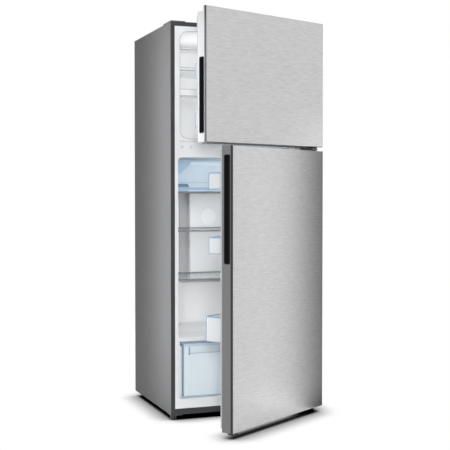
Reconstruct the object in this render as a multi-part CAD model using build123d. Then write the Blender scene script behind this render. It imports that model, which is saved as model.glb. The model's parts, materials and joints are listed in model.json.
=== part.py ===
from build123d import *
import math
import os

# Top freezer refrigerator, in millimetres. Seen from the front, X runs right, Y runs back and Z runs up
# from the floor. Both doors are hinged on the right and stand ajar.

# Cabinet
CABINET_W = 700.0
CABINET_D = 600.0
CABINET_H = 1731.0
FOOT_H = 24.0             # floor to cabinet underside
SHEET = 0.8               # wrapper and back panel
WRAP_BEND = 4.0           # bend radius of the wrapper's top corners
FRAME_W = 18.6            # front frame, sides and top
SILL_W = 26.0             # front frame, bottom
FRAME_T = 1.2
FRAME_LIP = 10.0          # depth of the lip folded in round the liner flanges
FIT = 0.3                 # general clearance between neighbours
BEAD_W = 22.0             # stiffening beads of the back panel
BEAD_H = 2.0
BEAD_PITCH = 210.0
BEAD_BEVEL = 1.5

# Compartments
FREEZER_TOP_WALL = 41.0
FREEZER_H = 469.0
FREEZER_WALL = 44.0
FREEZER_BACK_WALL = 55.0
FREEZER_CORNER = 40.0
MULLION_H = 81.5
SEAM_DROP = 11.0          # freezer opening down to the seam between the two liner flanges
FRIDGE_FLOOR_RISE = 68.0
FRIDGE_WALL = 34.0
FRIDGE_BACK_WALL = 65.0
FRIDGE_CORNER = 18.0
LINER = 2.0
LINER_BACK_R = 16.0
FLANGE_SET = 0.6          # liner flanges sit this far behind the cabinet's front plane
RAIL_T = 2.0              # steel crossbar behind the crossbar face
RAIL_H = 56.0
RAIL_LEG = 20.0

# Machine compartment at the bottom of the back
MACHINE_D = 266.0
MACHINE_H = 296.0
BASE_T = 1.0
HUMP_FOAM = 79.0          # compartment front to liner, at the floor
HUMP_LEAN = 27.0
HUMP_FRONT_RISE = 32.0    # liner step above the compartment, at its front edge
HUMP_BACK_RISE = 45.0
HUMP_R = 18.0
BASE_PLATE_T = 2.0
BASE_FLANGE = 14.0
COVER_T = 1.5
COVER_SLOT_W = 150.0
COVER_SLOT_H = 6.0
COVER_SLOT_COLUMNS = 3
COVER_SLOT_ROWS = 9
COVER_SIDE_MARGIN = 30.0
COVER_END_MARGIN = 40.0

# Compressor and its pieces
SHELL_A = 95.0            # half length and half width of the compressor shell
SHELL_B = 78.0
SHELL_H = 150.0
SHELL_ROUND = 34.0        # sloped shoulder of the shell, then its softened edges
SHELL_SOFT = 10.0
SHELL_CORNER = 74.0
SHELL_X = 40.0
SHELL_WELD = 4.0
SHELL_WELD_H = 6.0
PLATE_W = 222.0
PLATE_D = 136.0
PLATE_T = 3.0
PLATE_CORNER = 14.0
GROMMET_R = 13.0
GROMMET_H = 12.0
GROMMET_SIDES = 12
GROMMET_IN_X = 20.0       # mount centres from the plate's ends and sides
GROMMET_IN_Y = 18.0
RELAY_L = 36.0
RELAY_W = 64.0
RELAY_H = 58.0
RELAY_RISE = 10.0         # above the mounting plate
RELAY_SINK = 12.0         # let into the shell's rounded end
RELAY_R = 8.0
TRAY_W = 230.0
TRAY_D = 150.0
TRAY_H = 34.0
TRAY_WALL = 2.0
TRAY_CORNER = 16.0
PIPE_R = 4.0
PIPE_BEND = 22.0
PIPE_STEPS = 3            # straight lengths round a bend
PIPE_RISE = 40.0          # discharge outlet above the mounting plate
SUCTION_RISE = 102.0
SUCTION_RUN = 50.0
DRIER_RUN = 110.0
DRIER_RISE = 80.0         # drier above the discharge outlet
DRIER_R = 10.0
DRIER_L = 80.0
DRIER_NECK = 14.0

# Feet and rollers
FOOT_R = 14.0
FOOT_PAD_H = 19.6
FOOT_STUD_R = 4.0
FOOT_STUD_L = 20.0
FOOT_STUD_OUT = 7.0       # stud above its nut
FOOT_IN = 16.0            # foot centre from the cabinet's side
FOOT_BACK = 20.0          # foot centre behind the front plane
FOOT_SIDES = 16
FOOT_PLATE_T = 4.0
FOOT_PLATE_W = 54.0
FOOT_PLATE_D = 62.0
NUT_R = 8.0
NUT_SIDES = 6
NUT_H = 8.0
ROLLER_R = 10.5
ROLLER_W = 16.0
ROLLER_IN = 50.0
ROLLER_BACK = 40.0        # roller axle in front of the back of the cabinet
AXLE_R = 3.0
CHEEK_T = 2.0
CHEEK_D = 26.0
RUNNING = 0.05            # radial clearance of turning fits

# Doors
DOOR_T = 56.0
DOOR_GAP = 12.0           # cabinet front to the inner plane of a closed door
DOOR_SPLIT = 17.0
FREEZER_DOOR_LAP = 31.0   # freezer door below the freezer opening
FRIDGE_DOOR_RISE = 2.0    # fridge door above the cabinet underside
LIP_RISE = 19.4           # freezer door front above the cabinet top
LIP_T = 22.0
REAR_DROP = 2.0           # rear part of the freezer door below the cabinet top
PIN_IN = 20.0             # hinge axis from the door's side
PIN_BACK = 30.0           # hinge axis behind the door's front face
PIN_R = 4.0
PIN_L = 24.0
BUSH_R = 9.0
BUSH_L = 27.0
PANEL_T = 1.0
PANEL_EDGE = 12.0         # depth of the steel panel's folded edge
PANEL_R = 3.0
SHADOW = 0.6              # the side frame stands back from the panel's edge
FRAME_WALL = 2.5
BULGE = 14.0
BULGE_R = 14.0
FREEZER_BULGE_LAP = 8.0   # door liner bulge inside the opening's outline
FRIDGE_BULGE_LAP = 15.0
GASKET_IN = 14.0          # gasket in from the door's ends and hinge side
GASKET_FREE_IN = 4.0      # gasket in from the door's free side
GASKET_W = 14.0
GASKET_H = 11.0
GASKET_FOOT_H = 4.0
GASKET_NIP = 2.5          # sealing bead in from the edges of its foot
FREEZER_OPEN = 21.1       # degrees each door stands open
FRIDGE_OPEN = 33.1

# Grip cups in the doors' free edges
GRIP_W = 32.0
GRIP_FRONT = 14.5         # grip behind the door's front face
GRIP_DEPTH = 26.0
GRIP_WALL = 2.0
GRIP_R = 8.0
GRIP_SET = 37.0           # grip's end from the door's end at the split
FREEZER_GRIP_L = 316.0
FRIDGE_GRIP_L = 445.0

# Door bins
BIN_WALL = 2.5
BIN_CORNER = 16.0
FREEZER_BIN_INSET = 60.0
FREEZER_BIN_D = 79.0
FREEZER_BIN_H = 66.0
FREEZER_BIN_RISES = (36.0, 243.0)
FRIDGE_BIN_INSET = 55.0
FRIDGE_BIN_D = 101.0
FRIDGE_BIN_H = 70.0
FRIDGE_BIN_DROPS = (144.5, 413.5)
BOTTLE_BIN_D = 121.0
BOTTLE_BIN_INSET = 62.0
BOTTLE_BIN_H = 106.0
BOTTLE_BIN_RISE = 289.0

# Hinges
HINGE_T = 4.0
TOP_HINGE_T = 3.0
HINGE_NOSE = 4.0          # plate beyond the washer at the axis
HINGE_EYE_R = 7.0
ARM_FRONT = 12.0          # root of the top arm behind the cabinet's front plane
ARM_WAIST = 18.0          # narrowest place of the top arm behind the axis
ARM_NARROW = 2.0
WASHER_R = 8.0
WASHER_SIDES = 12
HINGE_SEAT_W = 56.0
HINGE_SEAT_D = 88.0
HINGE_SEAT_FRONT = 8.0
HINGE_SEAT_IN = 6.3       # seat in from the cabinet's side
HINGE_FLANGE_T = 3.0
HINGE_FLANGE_W = 70.0
HINGE_FLANGE_OUT = 14.0   # flange beyond the axis
HINGE_TAPER = 8.0
HINGE_FLANGE_H = 30.0
CAP_W = 70.0              # hinge covers on the cabinet top
CAP_D = 114.0
CAP_FRONT = 2.0
CAP_WALL = 2.0
CAP_BEVEL = 3.0
MOUTH_PLAY = 1.0          # round the arm in the top cover's mouth
HINGE_COVER_H = 16.0
BLANK_COVER_H = 5.0

# Shelves and drawers
SHELF_FRONT = 112.0       # shelf fronts behind the cabinet's front plane
FRIDGE_GLASS = 4.0
FRIDGE_SHELF_BACK = 37.0  # shelf back edge in front of the liner's back
UPPER_SHELF_DROP = 176.0  # below the chiller shelf
LOWER_SHELF_DROP = 222.0
TRIM_D = 11.0
TRIM_H = 8.0
TRIM_PROUD = 1.0
TRIM_BEVEL = 1.5
TRIM_PLAY = 7.0           # trim ends to the side walls
GLASS_PLAY = 8.0
COVER_PLAY = 4.0
COVER_TRIM_PLAY = 2.0
LEDGE_W = 12.0
LEDGE_H = 6.0
CHILLER_H = 151.5         # fridge ceiling down to the chiller shelf
CHILLER_CLEAR = 5.0
CHILLER_BACK = 69.0       # drawer in front of the liner's back
CHILLER_SET = 2.0         # drawer front behind the shelf front
CHILLER_WALL = 2.5
CHILLER_SIDE = 10.0
CHILLER_CORNER = 14.0
DRAWER_RIM = 4.0
DRAWER_RIM_H = 3.0
RUNNER_W = 44.0
RUNNER_H = 24.0
FREEZER_GLASS = 5.0
FREEZER_SHELF_FRONT = 100.0
FREEZER_SHELF_DROPS = (146.0, 243.0)
FREEZER_TRIM_HEIGHTS = (14.0, 32.0)
FREEZER_TRIM_PROUD = 3.0
FREEZER_TRIM_PLAY = 6.0
FREEZER_GLASS_PLAY = 7.0
FREEZER_GLASS_BACK = 12.0 # pane in front of the air panel
CRISPER_FRONT = 29.0
CRISPER_TOP_RISE = 243.0  # above the fridge floor
CRISPER_WALL = 2.5
CRISPER_SIDE = 28.0       # crisper to side wall
CRISPER_SPLIT = 10.0
CRISPER_CORNER = 14.0
CRISPER_SET = 2.0         # crisper front behind its cover's front
CRISPER_BACK_CLEAR = 16.0
CRISPER_LIFT = 0.3        # crisper underside above the fridge floor
CRISPER_RIM = 6.0
CRISPER_RIM_H = 4.0
PULL_H = 28.0
PULL_D = 12.0
PULL_DROP = 22.0
PULL_END = 26.0
RIB_COUNT = 4
RIB_W = 2.0
RIB_H = 1.5
RIB_END = 18.0
CRISPER_COVER_RISE = 268.0
CRISPER_TRIM_H = 18.0
CRISPER_TRIM_D = 14.0
CRISPER_TRIM_BEVEL = 2.0
COVER_GLASS = 4.0
COVER_GLASS_BACK = 4.0    # pane in front of the hump's top edge

# Air duct and cold pieces
DUCT_W = 194.0
DUCT_D = 30.0
DUCT_WALL = 2.5
DUCT_R = 8.0
DUCT_TOP_CLEAR = 24.0
DUCT_RISE = 14.0          # duct above the cooling plate's lower edge
DUCT_SLOT_D = 14.0        # outlets in the duct's sides
DUCT_SLOT_H = 9.0
DUCT_SLOT_FRONT = 10.0
DUCT_SLOT_RISE = 120.0    # above each shelf
DUCT_SLOT_PITCH = 22.0
DUCT_SLOT_ROWS = 2
PLATE_HALF_W = 142.0      # grey cooling plate
PLATE_SKIN = 1.5
PLATE_R = 10.0
PLATE_BOTTOM_DROP = 54.0  # below the lower shelf
VENT_R = 40.0
VENT_T = 3.5
VENT_RISE = 52.0          # vent centre above the upper shelf
LAMP_W = 120.0
LAMP_D = 50.0
LAMP_H = 3.0
LAMP_BEVEL = 1.0
LAMP_FRONT = 44.0
AIR_GAP = 93.0            # freezer air panel in front of the liner's back
AIR_PANEL_T = 2.5
OUTLET_W = 480.0
OUTLET_H = 22.0
OUTLET_DROP = 8.0
OUTLET_BARS = 8
OUTLET_BAR_W = 3.0
RETURN_SLOTS = 9
RETURN_W = 38.0
RETURN_H = 9.0
RETURN_RISE = 16.0
EVAPORATOR_W = 430.0
EVAPORATOR_D = 58.0
EVAPORATOR_DROP = 234.0   # evaporator's top below the freezer ceiling
EVAPORATOR_RISE = 30.0
FIN_COUNT = 18
FIN_T = 2.0
CORE_T = 14.0
BEND_R = 16.0
BEND_H = 24.0
BEND_COUNT = 3
HEATER_R = 4.0
HEATER_CAP_W = 14.0
HEATER_CAP_L = 26.0
FAN_DROP = 124.0          # fan axis below the freezer ceiling
FAN_R = 56.0
FAN_HUB_R = 17.0
FAN_HUB_L = 22.0
FAN_HUB_BEVEL = 4.0
FAN_GAP = 6.0             # hub in front of the motor
FAN_BLADES = 5
BLADE_T = 2.2
BLADE_CHORD = 34.0
BLADE_CAMBER = 5.0
BLADE_PITCH = 34.0
BLADE_SINK = 2.0          # blade roots let into the hub
MOTOR_W = 54.0
MOTOR_L = 30.0
MOTOR_BEVEL = 8.0
SHAFT_R = 3.0
SHAFT_L = 30.0
GRILLE_SLOTS = 12
GRILLE_SLOT_L = 24.0
GRILLE_SLOT_W = 5.0
GRILLE_R = 40.0
DIAL_X = 150.0
DIAL_R = 20.0
DIAL_SIDES = 24
DIAL_H = 12.0
DIAL_DISC_T = 4.0
DIAL_GRIP_W = 7.0
DIAL_GRIP_IN = 3.0
DIAL_SHAFT_R = 4.0
DIAL_CLIP_R = 7.0
DIAL_CLIP_T = 2.7
DIAL_CLIP_SIDES = 6

# Places worked out from the sizes
HALF_W = CABINET_W / 2
BASE_Z = FOOT_H
TOP_Z = FOOT_H + CABINET_H
FREEZER_TOP = TOP_Z - FREEZER_TOP_WALL
FREEZER_SILL = FREEZER_TOP - FREEZER_H
FRIDGE_TOP = FREEZER_SILL - MULLION_H
FRIDGE_FLOOR = BASE_Z + FRIDGE_FLOOR_RISE
SEAM_Z = FREEZER_SILL - SEAM_DROP
MACHINE_FRONT = CABINET_D - MACHINE_D
MACHINE_TOP = BASE_Z + MACHINE_H
FREEZER_HALF = HALF_W - FREEZER_WALL
FRIDGE_HALF = HALF_W - FRIDGE_WALL
FREEZER_DEEP = CABINET_D - FREEZER_BACK_WALL
FRIDGE_DEEP = CABINET_D - FRIDGE_BACK_WALL
FLANGE_BACK = FLANGE_SET + LINER
RAIL_MID = (SEAM_Z + FRIDGE_TOP) / 2
HUMP_FLOOR_D = MACHINE_FRONT - HUMP_FOAM
HUMP_TOP_D = HUMP_FLOOR_D - HUMP_LEAN
HUMP_TOP_Z = MACHINE_TOP + HUMP_FRONT_RISE
AXIS_X = HALF_W - PIN_IN
AXIS_DEEP = PIN_BACK - DOOR_T - DOOR_GAP
FREEZER_DOOR_Z = FREEZER_SILL - FREEZER_DOOR_LAP
FRIDGE_DOOR_TOP = FREEZER_DOOR_Z - DOOR_SPLIT
FRIDGE_DOOR_Z = BASE_Z + FRIDGE_DOOR_RISE
LIP_Z = TOP_Z + LIP_RISE
FREEZER_REAR_TOP = TOP_Z - REAR_DROP
CHILLER_SHELF_Z = FRIDGE_TOP - CHILLER_H
UPPER_SHELF_Z = CHILLER_SHELF_Z - UPPER_SHELF_DROP
LOWER_SHELF_Z = UPPER_SHELF_Z - LOWER_SHELF_DROP
SHELF_BACK = FRIDGE_DEEP - FRIDGE_SHELF_BACK
CRISPER_BACK = HUMP_TOP_D - CRISPER_BACK_CLEAR
CRISPER_TOP = FRIDGE_FLOOR + CRISPER_TOP_RISE
CRISPER_COVER_Z = FRIDGE_FLOOR + CRISPER_COVER_RISE
PLATE_Z = BASE_Z + BASE_PLATE_T + GROMMET_H
SHELL_D = MACHINE_FRONT + MACHINE_D / 2
FAN_Z = FREEZER_TOP - FAN_DROP
AIR_PANEL_D = FREEZER_DEEP - AIR_GAP
EVAPORATOR_Z = FREEZER_SILL + EVAPORATOR_RISE
EVAPORATOR_H = FREEZER_H - EVAPORATOR_DROP - EVAPORATOR_RISE
SWUNG = math.radians(FRIDGE_OPEN)
REACH = (CABINET_W - PIN_IN) * math.sin(SWUNG) + PIN_BACK * math.cos(SWUNG) - AXIS_DEEP
# The origin lies on the floor, midway between the back of the cabinet and the fridge door's free edge.
FRONT_Y = (REACH - CABINET_D) / 2
AXIS_Y = FRONT_Y + AXIS_DEEP


def deep(depth):
    """Y of a place so far behind the cabinet's front plane."""
    return FRONT_Y + depth


def leaf(behind):
    """Y of a place so far behind the front face of a closed door."""
    return FRONT_Y - DOOR_GAP - DOOR_T + behind


def block(x, y, z):
    """A block between pairs of X, Y and Z limits."""
    centre = [(low + high) / 2 for low, high in (x, y, z)]
    return Pos(*centre) * Box(*[high - low for low, high in (x, y, z)])


def face_of(*points):
    """A flat face with straight sides."""
    return make_face(Polyline(*points, close=True))


def front_prism(outline, y0, y1):
    """An outline drawn in X and Z, made solid from y0 back to y1."""
    return extrude(Plane((0, y1, 0), x_dir=(1, 0, 0), z_dir=(0, -1, 0)) * outline, amount=y1 - y0)


def side_prism(outline, x0, x1):
    """An outline drawn in Y and Z, made solid from x0 to x1."""
    return extrude(Plane.YZ.offset(x0) * outline, amount=x1 - x0)


def top_prism(outline, z0, z1):
    """An outline drawn in X and Y, made solid from z0 up to z1."""
    return extrude(Plane.XY.offset(z0) * outline, amount=z1 - z0)


def rod_z(x, y, z, radius):
    """An upright round bar between a pair of Z limits."""
    return Pos(x, y, (z[0] + z[1]) / 2) * Cylinder(radius, z[1] - z[0])


def rod_y(x, y, z, radius):
    """A round bar along Y between a pair of Y limits."""
    return Pos(x, (y[0] + y[1]) / 2, z) * Rot(90, 0, 0) * Cylinder(radius, y[1] - y[0])


def rod_x(x, y, z, radius):
    """A round bar along X between a pair of X limits."""
    return Pos((x[0] + x[1]) / 2, y, z) * Rot(0, 90, 0) * Cylinder(radius, x[1] - x[0])


def group(shapes):
    """Separate solids held in one node."""
    return Compound([shape.solid() for shape in shapes])


def tray(x, y, z, wall, corner):
    """An open box with rounded upright corners."""
    width = x[1] - x[0]
    depth = y[1] - y[0]
    centre = Pos((x[0] + x[1]) / 2, (y[0] + y[1]) / 2)
    outer = top_prism(centre * RectangleRounded(width, depth, corner), z[0], z[1])
    inner_outline = RectangleRounded(width - 2 * wall, depth - 2 * wall, corner - wall)
    return outer - top_prism(centre * inner_outline, z[0] + wall, z[1])


def rim(x, y, z, wall, corner, out):
    """A flat rim standing out round the top of a tray."""
    width = x[1] - x[0]
    depth = y[1] - y[0]
    centre = Pos((x[0] + x[1]) / 2, (y[0] + y[1]) / 2)
    outer = RectangleRounded(width + 2 * out, depth + 2 * out, corner + out)
    inner = RectangleRounded(width - 2 * wall, depth - 2 * wall, corner - wall)
    return top_prism(centre * (outer - inner), z[0], z[1])


def swing(shape, angle):
    """Turns a closed door's piece about the hinge axis."""
    return shape.rotate(Axis((AXIS_X, AXIS_Y, 0), (0, 0, 1)), angle)


def cavity(half, z, corner, depth, grow):
    """The square-backed room of a liner, up to a margin."""
    outline = RectangleRounded(2 * (half + grow), z[1] - z[0] + 2 * grow, corner + grow)
    plane = Plane((0, deep(FLANGE_SET), (z[0] + z[1]) / 2), x_dir=(1, 0, 0), z_dir=(0, 1, 0))
    return extrude(plane * outline, amount=depth - FLANGE_SET + grow)


def freezer_cavity(grow=0.0):
    """The freezer's inside, up to a margin."""
    return cavity(FREEZER_HALF, (FREEZER_SILL, FREEZER_TOP), FREEZER_CORNER, FREEZER_DEEP, grow)


def hump(shrink):
    """The step in the fridge's floor over the machine compartment."""
    points = (
        (deep(HUMP_FLOOR_D + shrink), BASE_Z),
        (deep(HUMP_TOP_D + shrink), HUMP_TOP_Z - shrink),
        (deep(CABINET_D), MACHINE_TOP + HUMP_BACK_RISE - shrink),
        (deep(CABINET_D), BASE_Z),
    )
    outline = face_of(*points)
    outline = fillet(outline.vertices().sort_by(Axis.X)[0:1], HUMP_R - shrink)
    return side_prism(outline, -HALF_W, HALF_W)


def fridge_cavity(grow=0.0):
    """The fridge's inside with its rounded back edges, or its square-backed outside at a margin."""
    room = cavity(FRIDGE_HALF, (FRIDGE_FLOOR, FRIDGE_TOP), FRIDGE_CORNER, FRIDGE_DEEP, grow)
    if grow == 0:
        room = fillet(room.faces().sort_by(Axis.Y)[-1].edges(), LINER_BACK_R)
    return room - hump(grow)


def flange(half, z, corner, low, high):
    """A liner's front flange from the opening out to the front frame."""
    width = 2 * (HALF_W - FRAME_W - FIT)
    outline = Pos(0, (low + high) / 2) * Rectangle(width, high - low)
    opening = Pos(0, (z[0] + z[1]) / 2) * RectangleRounded(2 * half, z[1] - z[0], corner)
    return front_prism(outline - opening, deep(FLANGE_SET), deep(FLANGE_BACK))


def ledges(half, outside, levels):
    """Moulded shelf ledges on both side walls, as limits of depth and top height."""
    pieces = []
    for front, back, top in levels:
        for side in (-1, 1):
            wall = sorted((side * (half + LINER), side * (half - LEDGE_W)))
            ledge = block(wall, (deep(front), deep(back)), (top - LEDGE_H, top))
            pieces.append(ledge & outside)
    return pieces


def freezer_shelf_levels():
    """Top height of each freezer shelf's glass."""
    return [FREEZER_TOP - drop for drop in FREEZER_SHELF_DROPS]


def fridge_shelf_levels():
    """Top height of the chiller shelf and the two glass shelves."""
    return [CHILLER_SHELF_Z, UPPER_SHELF_Z, LOWER_SHELF_Z]


def freezer_liner():
    """White one-piece freezer lining with its flange and shelf ledges."""
    z = (FREEZER_SILL, FREEZER_TOP)
    outside = freezer_cavity(LINER)
    inside = freezer_cavity()
    back = AIR_PANEL_D - FIT
    levels = [(FREEZER_SHELF_FRONT + TRIM_D, back, top - FREEZER_GLASS) for top in freezer_shelf_levels()]
    low, high = SEAM_Z + FIT, TOP_Z - FRAME_W - FIT
    liner = outside + flange(FREEZER_HALF, z, FREEZER_CORNER, low, high) - inside
    for ledge in ledges(FREEZER_HALF, outside, levels):
        liner = liner + ledge
    return liner


def fridge_liner():
    """White one-piece fridge lining with the crossbar face, floor hump and shelf ledges."""
    z = (FRIDGE_FLOOR, FRIDGE_TOP)
    outside = fridge_cavity(LINER)
    inside = fridge_cavity()
    span = (SHELF_FRONT + TRIM_D + FIT, SHELF_BACK - TRIM_D - FIT)
    levels = [(*span, top - FRIDGE_GLASS) for top in fridge_shelf_levels()]
    cover_front = CRISPER_FRONT + CRISPER_TRIM_D
    levels.append((cover_front, CRISPER_BACK, CRISPER_COVER_Z - TRIM_PROUD - COVER_GLASS))
    low, high = BASE_Z + SILL_W + FIT, SEAM_Z
    liner = outside + flange(FRIDGE_HALF, z, FRIDGE_CORNER, low, high) - inside
    for ledge in ledges(FRIDGE_HALF, outside, levels):
        liner = liner + ledge
    return liner


def cabinet_outline(margin):
    """Front outline of the cabinet with its bent top corners, inside a margin."""
    width = CABINET_W - 2 * margin
    height = CABINET_H - margin
    outline = Pos(0, BASE_Z + height / 2) * Rectangle(width, height)
    return fillet(outline.vertices().group_by(Axis.Y)[-1], WRAP_BEND - margin)


def outer_wrapper():
    """Painted sheet bent over both sides and the top."""
    outline = cabinet_outline(0) - cabinet_outline(SHEET)
    return front_prism(outline, deep(FRAME_T), deep(CABINET_D - SHEET))


def front_frame():
    """Dark front frame round both openings, folded in beside the liner flanges."""
    low, high = BASE_Z + SILL_W, TOP_Z - FRAME_W
    mid = Pos(0, (low + high) / 2)
    half = HALF_W - FRAME_W
    opening = mid * Rectangle(2 * half, high - low)
    fold = mid * Rectangle(2 * (half + FRAME_T), high - low + 2 * FRAME_T)
    ring = front_prism(cabinet_outline(0) - opening, deep(0), deep(FRAME_T))
    return ring + front_prism(fold - opening, deep(FRAME_T), deep(FRAME_T + FRAME_LIP))


def back_panel():
    """Sheet back above the machine compartment, stiffened by upright beads."""
    z = (MACHINE_TOP + BASE_T, TOP_Z)
    panel = block((-HALF_W, HALF_W), (deep(CABINET_D - SHEET), deep(CABINET_D)), z)
    bead_z = (z[0] + BEAD_PITCH / 2, z[1] - BEAD_PITCH / 2)
    for step in (-1, 0, 1):
        x = step * BEAD_PITCH
        bead_x = (x - BEAD_W / 2, x + BEAD_W / 2)
        bead = block(bead_x, (deep(CABINET_D), deep(CABINET_D + BEAD_H)), bead_z)
        panel = panel + chamfer(bead.faces().sort_by(Axis.Y)[-1].edges(), BEAD_BEVEL)
    return panel


def foot_places():
    """Side and centre of each levelling foot."""
    return {"left": -HALF_W + FOOT_IN, "right": HALF_W - FOOT_IN}


def base_panel():
    """Stepped sheet base with a foot plate on the left and a nut for each foot."""
    points = (
        (FRAME_T, BASE_Z),
        (MACHINE_FRONT, BASE_Z),
        (MACHINE_FRONT, MACHINE_TOP),
        (CABINET_D - SHEET, MACHINE_TOP),
        (CABINET_D - SHEET, MACHINE_TOP + BASE_T),
        (MACHINE_FRONT - BASE_T, MACHINE_TOP + BASE_T),
        (MACHINE_FRONT - BASE_T, BASE_Z + BASE_T),
        (FRAME_T, BASE_Z + BASE_T),
    )
    inside = HALF_W - SHEET
    panel = side_prism(face_of(*[(deep(depth), z) for depth, z in points]), -inside, inside)
    plate_x = (-inside, -inside + FOOT_PLATE_W)
    plate = block(plate_x, (deep(FRAME_T), deep(FOOT_PLATE_D)), (BASE_Z - FOOT_PLATE_T, BASE_Z))
    panel = panel + plate
    for x in foot_places().values():
        nut_z = (BASE_Z + BASE_T, BASE_Z + BASE_T + NUT_H)
        panel = panel + top_prism(Pos(x, deep(FOOT_BACK)) * RegularPolygon(NUT_R, NUT_SIDES), *nut_z)
        hole_z = (BASE_Z - FOOT_PLATE_T, nut_z[1])
        panel = panel - rod_z(x, deep(FOOT_BACK), hole_z, FOOT_STUD_R + RUNNING)
    return panel


def compressor_base():
    """Steel plate across the machine compartment with a folded front and back edge."""
    inside = HALF_W - SHEET
    front, back = deep(MACHINE_FRONT), deep(CABINET_D - SHEET - COVER_T)
    plate = block((-inside, inside), (front, back), (BASE_Z, BASE_Z + BASE_PLATE_T))
    for y in ((front, front + BASE_PLATE_T), (back - BASE_PLATE_T, back)):
        plate = plate + block((-inside, inside), y, (BASE_Z, BASE_Z + BASE_FLANGE))
    return plate


def mullion_rail():
    """Steel channel behind the crossbar face, which carries the middle hinge."""
    half = HALF_W - FRAME_W - FRAME_T - FIT
    z = (RAIL_MID - RAIL_H / 2, RAIL_MID + RAIL_H / 2)
    front = deep(FLANGE_BACK)
    rail = block((-half, half), (front, front + RAIL_LEG), z)
    hollow_y = (front + RAIL_T, front + RAIL_LEG)
    return rail - block((-half, half), hollow_y, (z[0] + RAIL_T, z[1] - RAIL_T))


def cabinet_foam():
    """Insulation between the wrapper and the liners."""
    inside = HALF_W - SHEET
    y = (deep(FLANGE_BACK), deep(CABINET_D - SHEET))
    foam = block((-inside, inside), y, (BASE_Z + BASE_T, TOP_Z - SHEET))
    corner = foam.edges().filter_by(Axis.Y).group_by(Axis.Z)[-1]
    foam = fillet(corner, WRAP_BEND - SHEET)
    foam = foam - freezer_cavity(LINER) - fridge_cavity(LINER)
    step_y = (deep(MACHINE_FRONT - BASE_T), deep(CABINET_D))
    foam = foam - block((-HALF_W, HALF_W), step_y, (BASE_Z, MACHINE_TOP + BASE_T))
    low, high = BASE_Z + SILL_W - FRAME_T, TOP_Z - FRAME_W + FRAME_T
    half = HALF_W - FRAME_W + FRAME_T
    lip_y = (deep(FLANGE_BACK), deep(FRAME_T + FRAME_LIP))
    band = block((-half, half), lip_y, (low, high))
    band = band - block((-half + FRAME_T, half - FRAME_T), lip_y, (low + FRAME_T, high - FRAME_T))
    foam = foam - band - mullion_rail()
    for x in foot_places().values():
        stud_z = (BASE_Z, BASE_Z + BASE_T + NUT_H + FOOT_STUD_L)
        foam = foam - top_prism(Pos(x, deep(FOOT_BACK)) * RegularPolygon(NUT_R + FIT, NUT_SIDES), *stud_z)
    return foam


def hinge_arm(seat_x, z):
    """The top hinge's flat arm from its seat to the eye on the axis, clear of the swinging lip."""
    y = deep(ARM_FRONT)
    inner = AXIS_X - HINGE_EYE_R
    points = (
        (seat_x[0], y),
        (inner, y),
        (inner + ARM_NARROW, AXIS_Y + ARM_WAIST),
        (AXIS_X + HINGE_EYE_R, AXIS_Y),
        (AXIS_X, AXIS_Y - HINGE_EYE_R + ARM_NARROW),
        (inner, AXIS_Y),
    )
    eye = Pos(AXIS_X, AXIS_Y) * Circle(HINGE_EYE_R)
    return top_prism(face_of(*points) + eye, z[0], z[1])


def top_hinge():
    """Top hinge leaf on the cabinet top with its pin down into the freezer door."""
    z = (TOP_Z, TOP_Z + TOP_HINGE_T)
    right = HALF_W - HINGE_SEAT_IN
    x = (right - HINGE_SEAT_W, right)
    seat_y = (deep(HINGE_SEAT_FRONT), deep(HINGE_SEAT_FRONT + HINGE_SEAT_D))
    hinge = block(x, seat_y, z) + hinge_arm(x, z)
    hinge = hinge + rod_z(AXIS_X, AXIS_Y, (FREEZER_REAR_TOP - PIN_L, z[1]), PIN_R)
    return hinge + rod_z(AXIS_X, AXIS_Y, (FREEZER_REAR_TOP + FIT, z[0]), HINGE_EYE_R)


def hinge_nose(root_x, root_depth):
    """Outline of a hinge plate that narrows from its root to the axis."""
    nose = WASHER_R + HINGE_NOSE
    return face_of(
        (root_x[0], deep(root_depth)),
        (root_x[1], deep(root_depth)),
        (AXIS_X + nose, AXIS_Y),
        (AXIS_X + HINGE_NOSE, AXIS_Y - nose),
        (AXIS_X - HINGE_NOSE, AXIS_Y - nose),
        (AXIS_X - nose, AXIS_Y),
    )


def washer(z0, z1):
    """A hinge's bearing washer round the axis."""
    return top_prism(Pos(AXIS_X, AXIS_Y) * RegularPolygon(WASHER_R, WASHER_SIDES), z0, z1)


def middle_hinge():
    """Middle hinge between the doors with a pin up and a pin down."""
    split = (FREEZER_DOOR_Z + FRIDGE_DOOR_TOP) / 2
    z = (split - HINGE_T / 2, split + HINGE_T / 2)
    right = AXIS_X + HINGE_FLANGE_OUT
    x = (right - HINGE_FLANGE_W, right)
    flange_z = (split - HINGE_FLANGE_H / 2, split + HINGE_FLANGE_H / 2)
    hinge = block(x, (deep(-HINGE_FLANGE_T), deep(0)), flange_z)
    hinge = hinge + top_prism(hinge_nose((x[0] + HINGE_TAPER, x[1]), 0), z[0], z[1])
    pin_z = (FRIDGE_DOOR_TOP - PIN_L, FREEZER_DOOR_Z + PIN_L)
    hinge = hinge + rod_z(AXIS_X, AXIS_Y, pin_z, PIN_R)
    return hinge + washer(FRIDGE_DOOR_TOP + FIT, FREEZER_DOOR_Z - FIT)


def bottom_hinge():
    """Bottom hinge leaf under the base with its pin up into the fridge door."""
    z = (BASE_Z - FOOT_PLATE_T, BASE_Z)
    x = (HALF_W - SHEET - FOOT_PLATE_W, HALF_W - SHEET)
    hinge = block(x, (deep(FRAME_T), deep(FOOT_PLATE_D)), z)
    hinge = hinge + top_prism(hinge_nose(x, FRAME_T), z[0], z[1])
    hinge = hinge + rod_z(AXIS_X, AXIS_Y, (z[0], FRIDGE_DOOR_Z + PIN_L), PIN_R)
    hinge = hinge + washer(z[1], FRIDGE_DOOR_Z - FIT)
    return hinge - rod_z(foot_places()["right"], deep(FOOT_BACK), z, FOOT_STUD_R + FIT)


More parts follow.
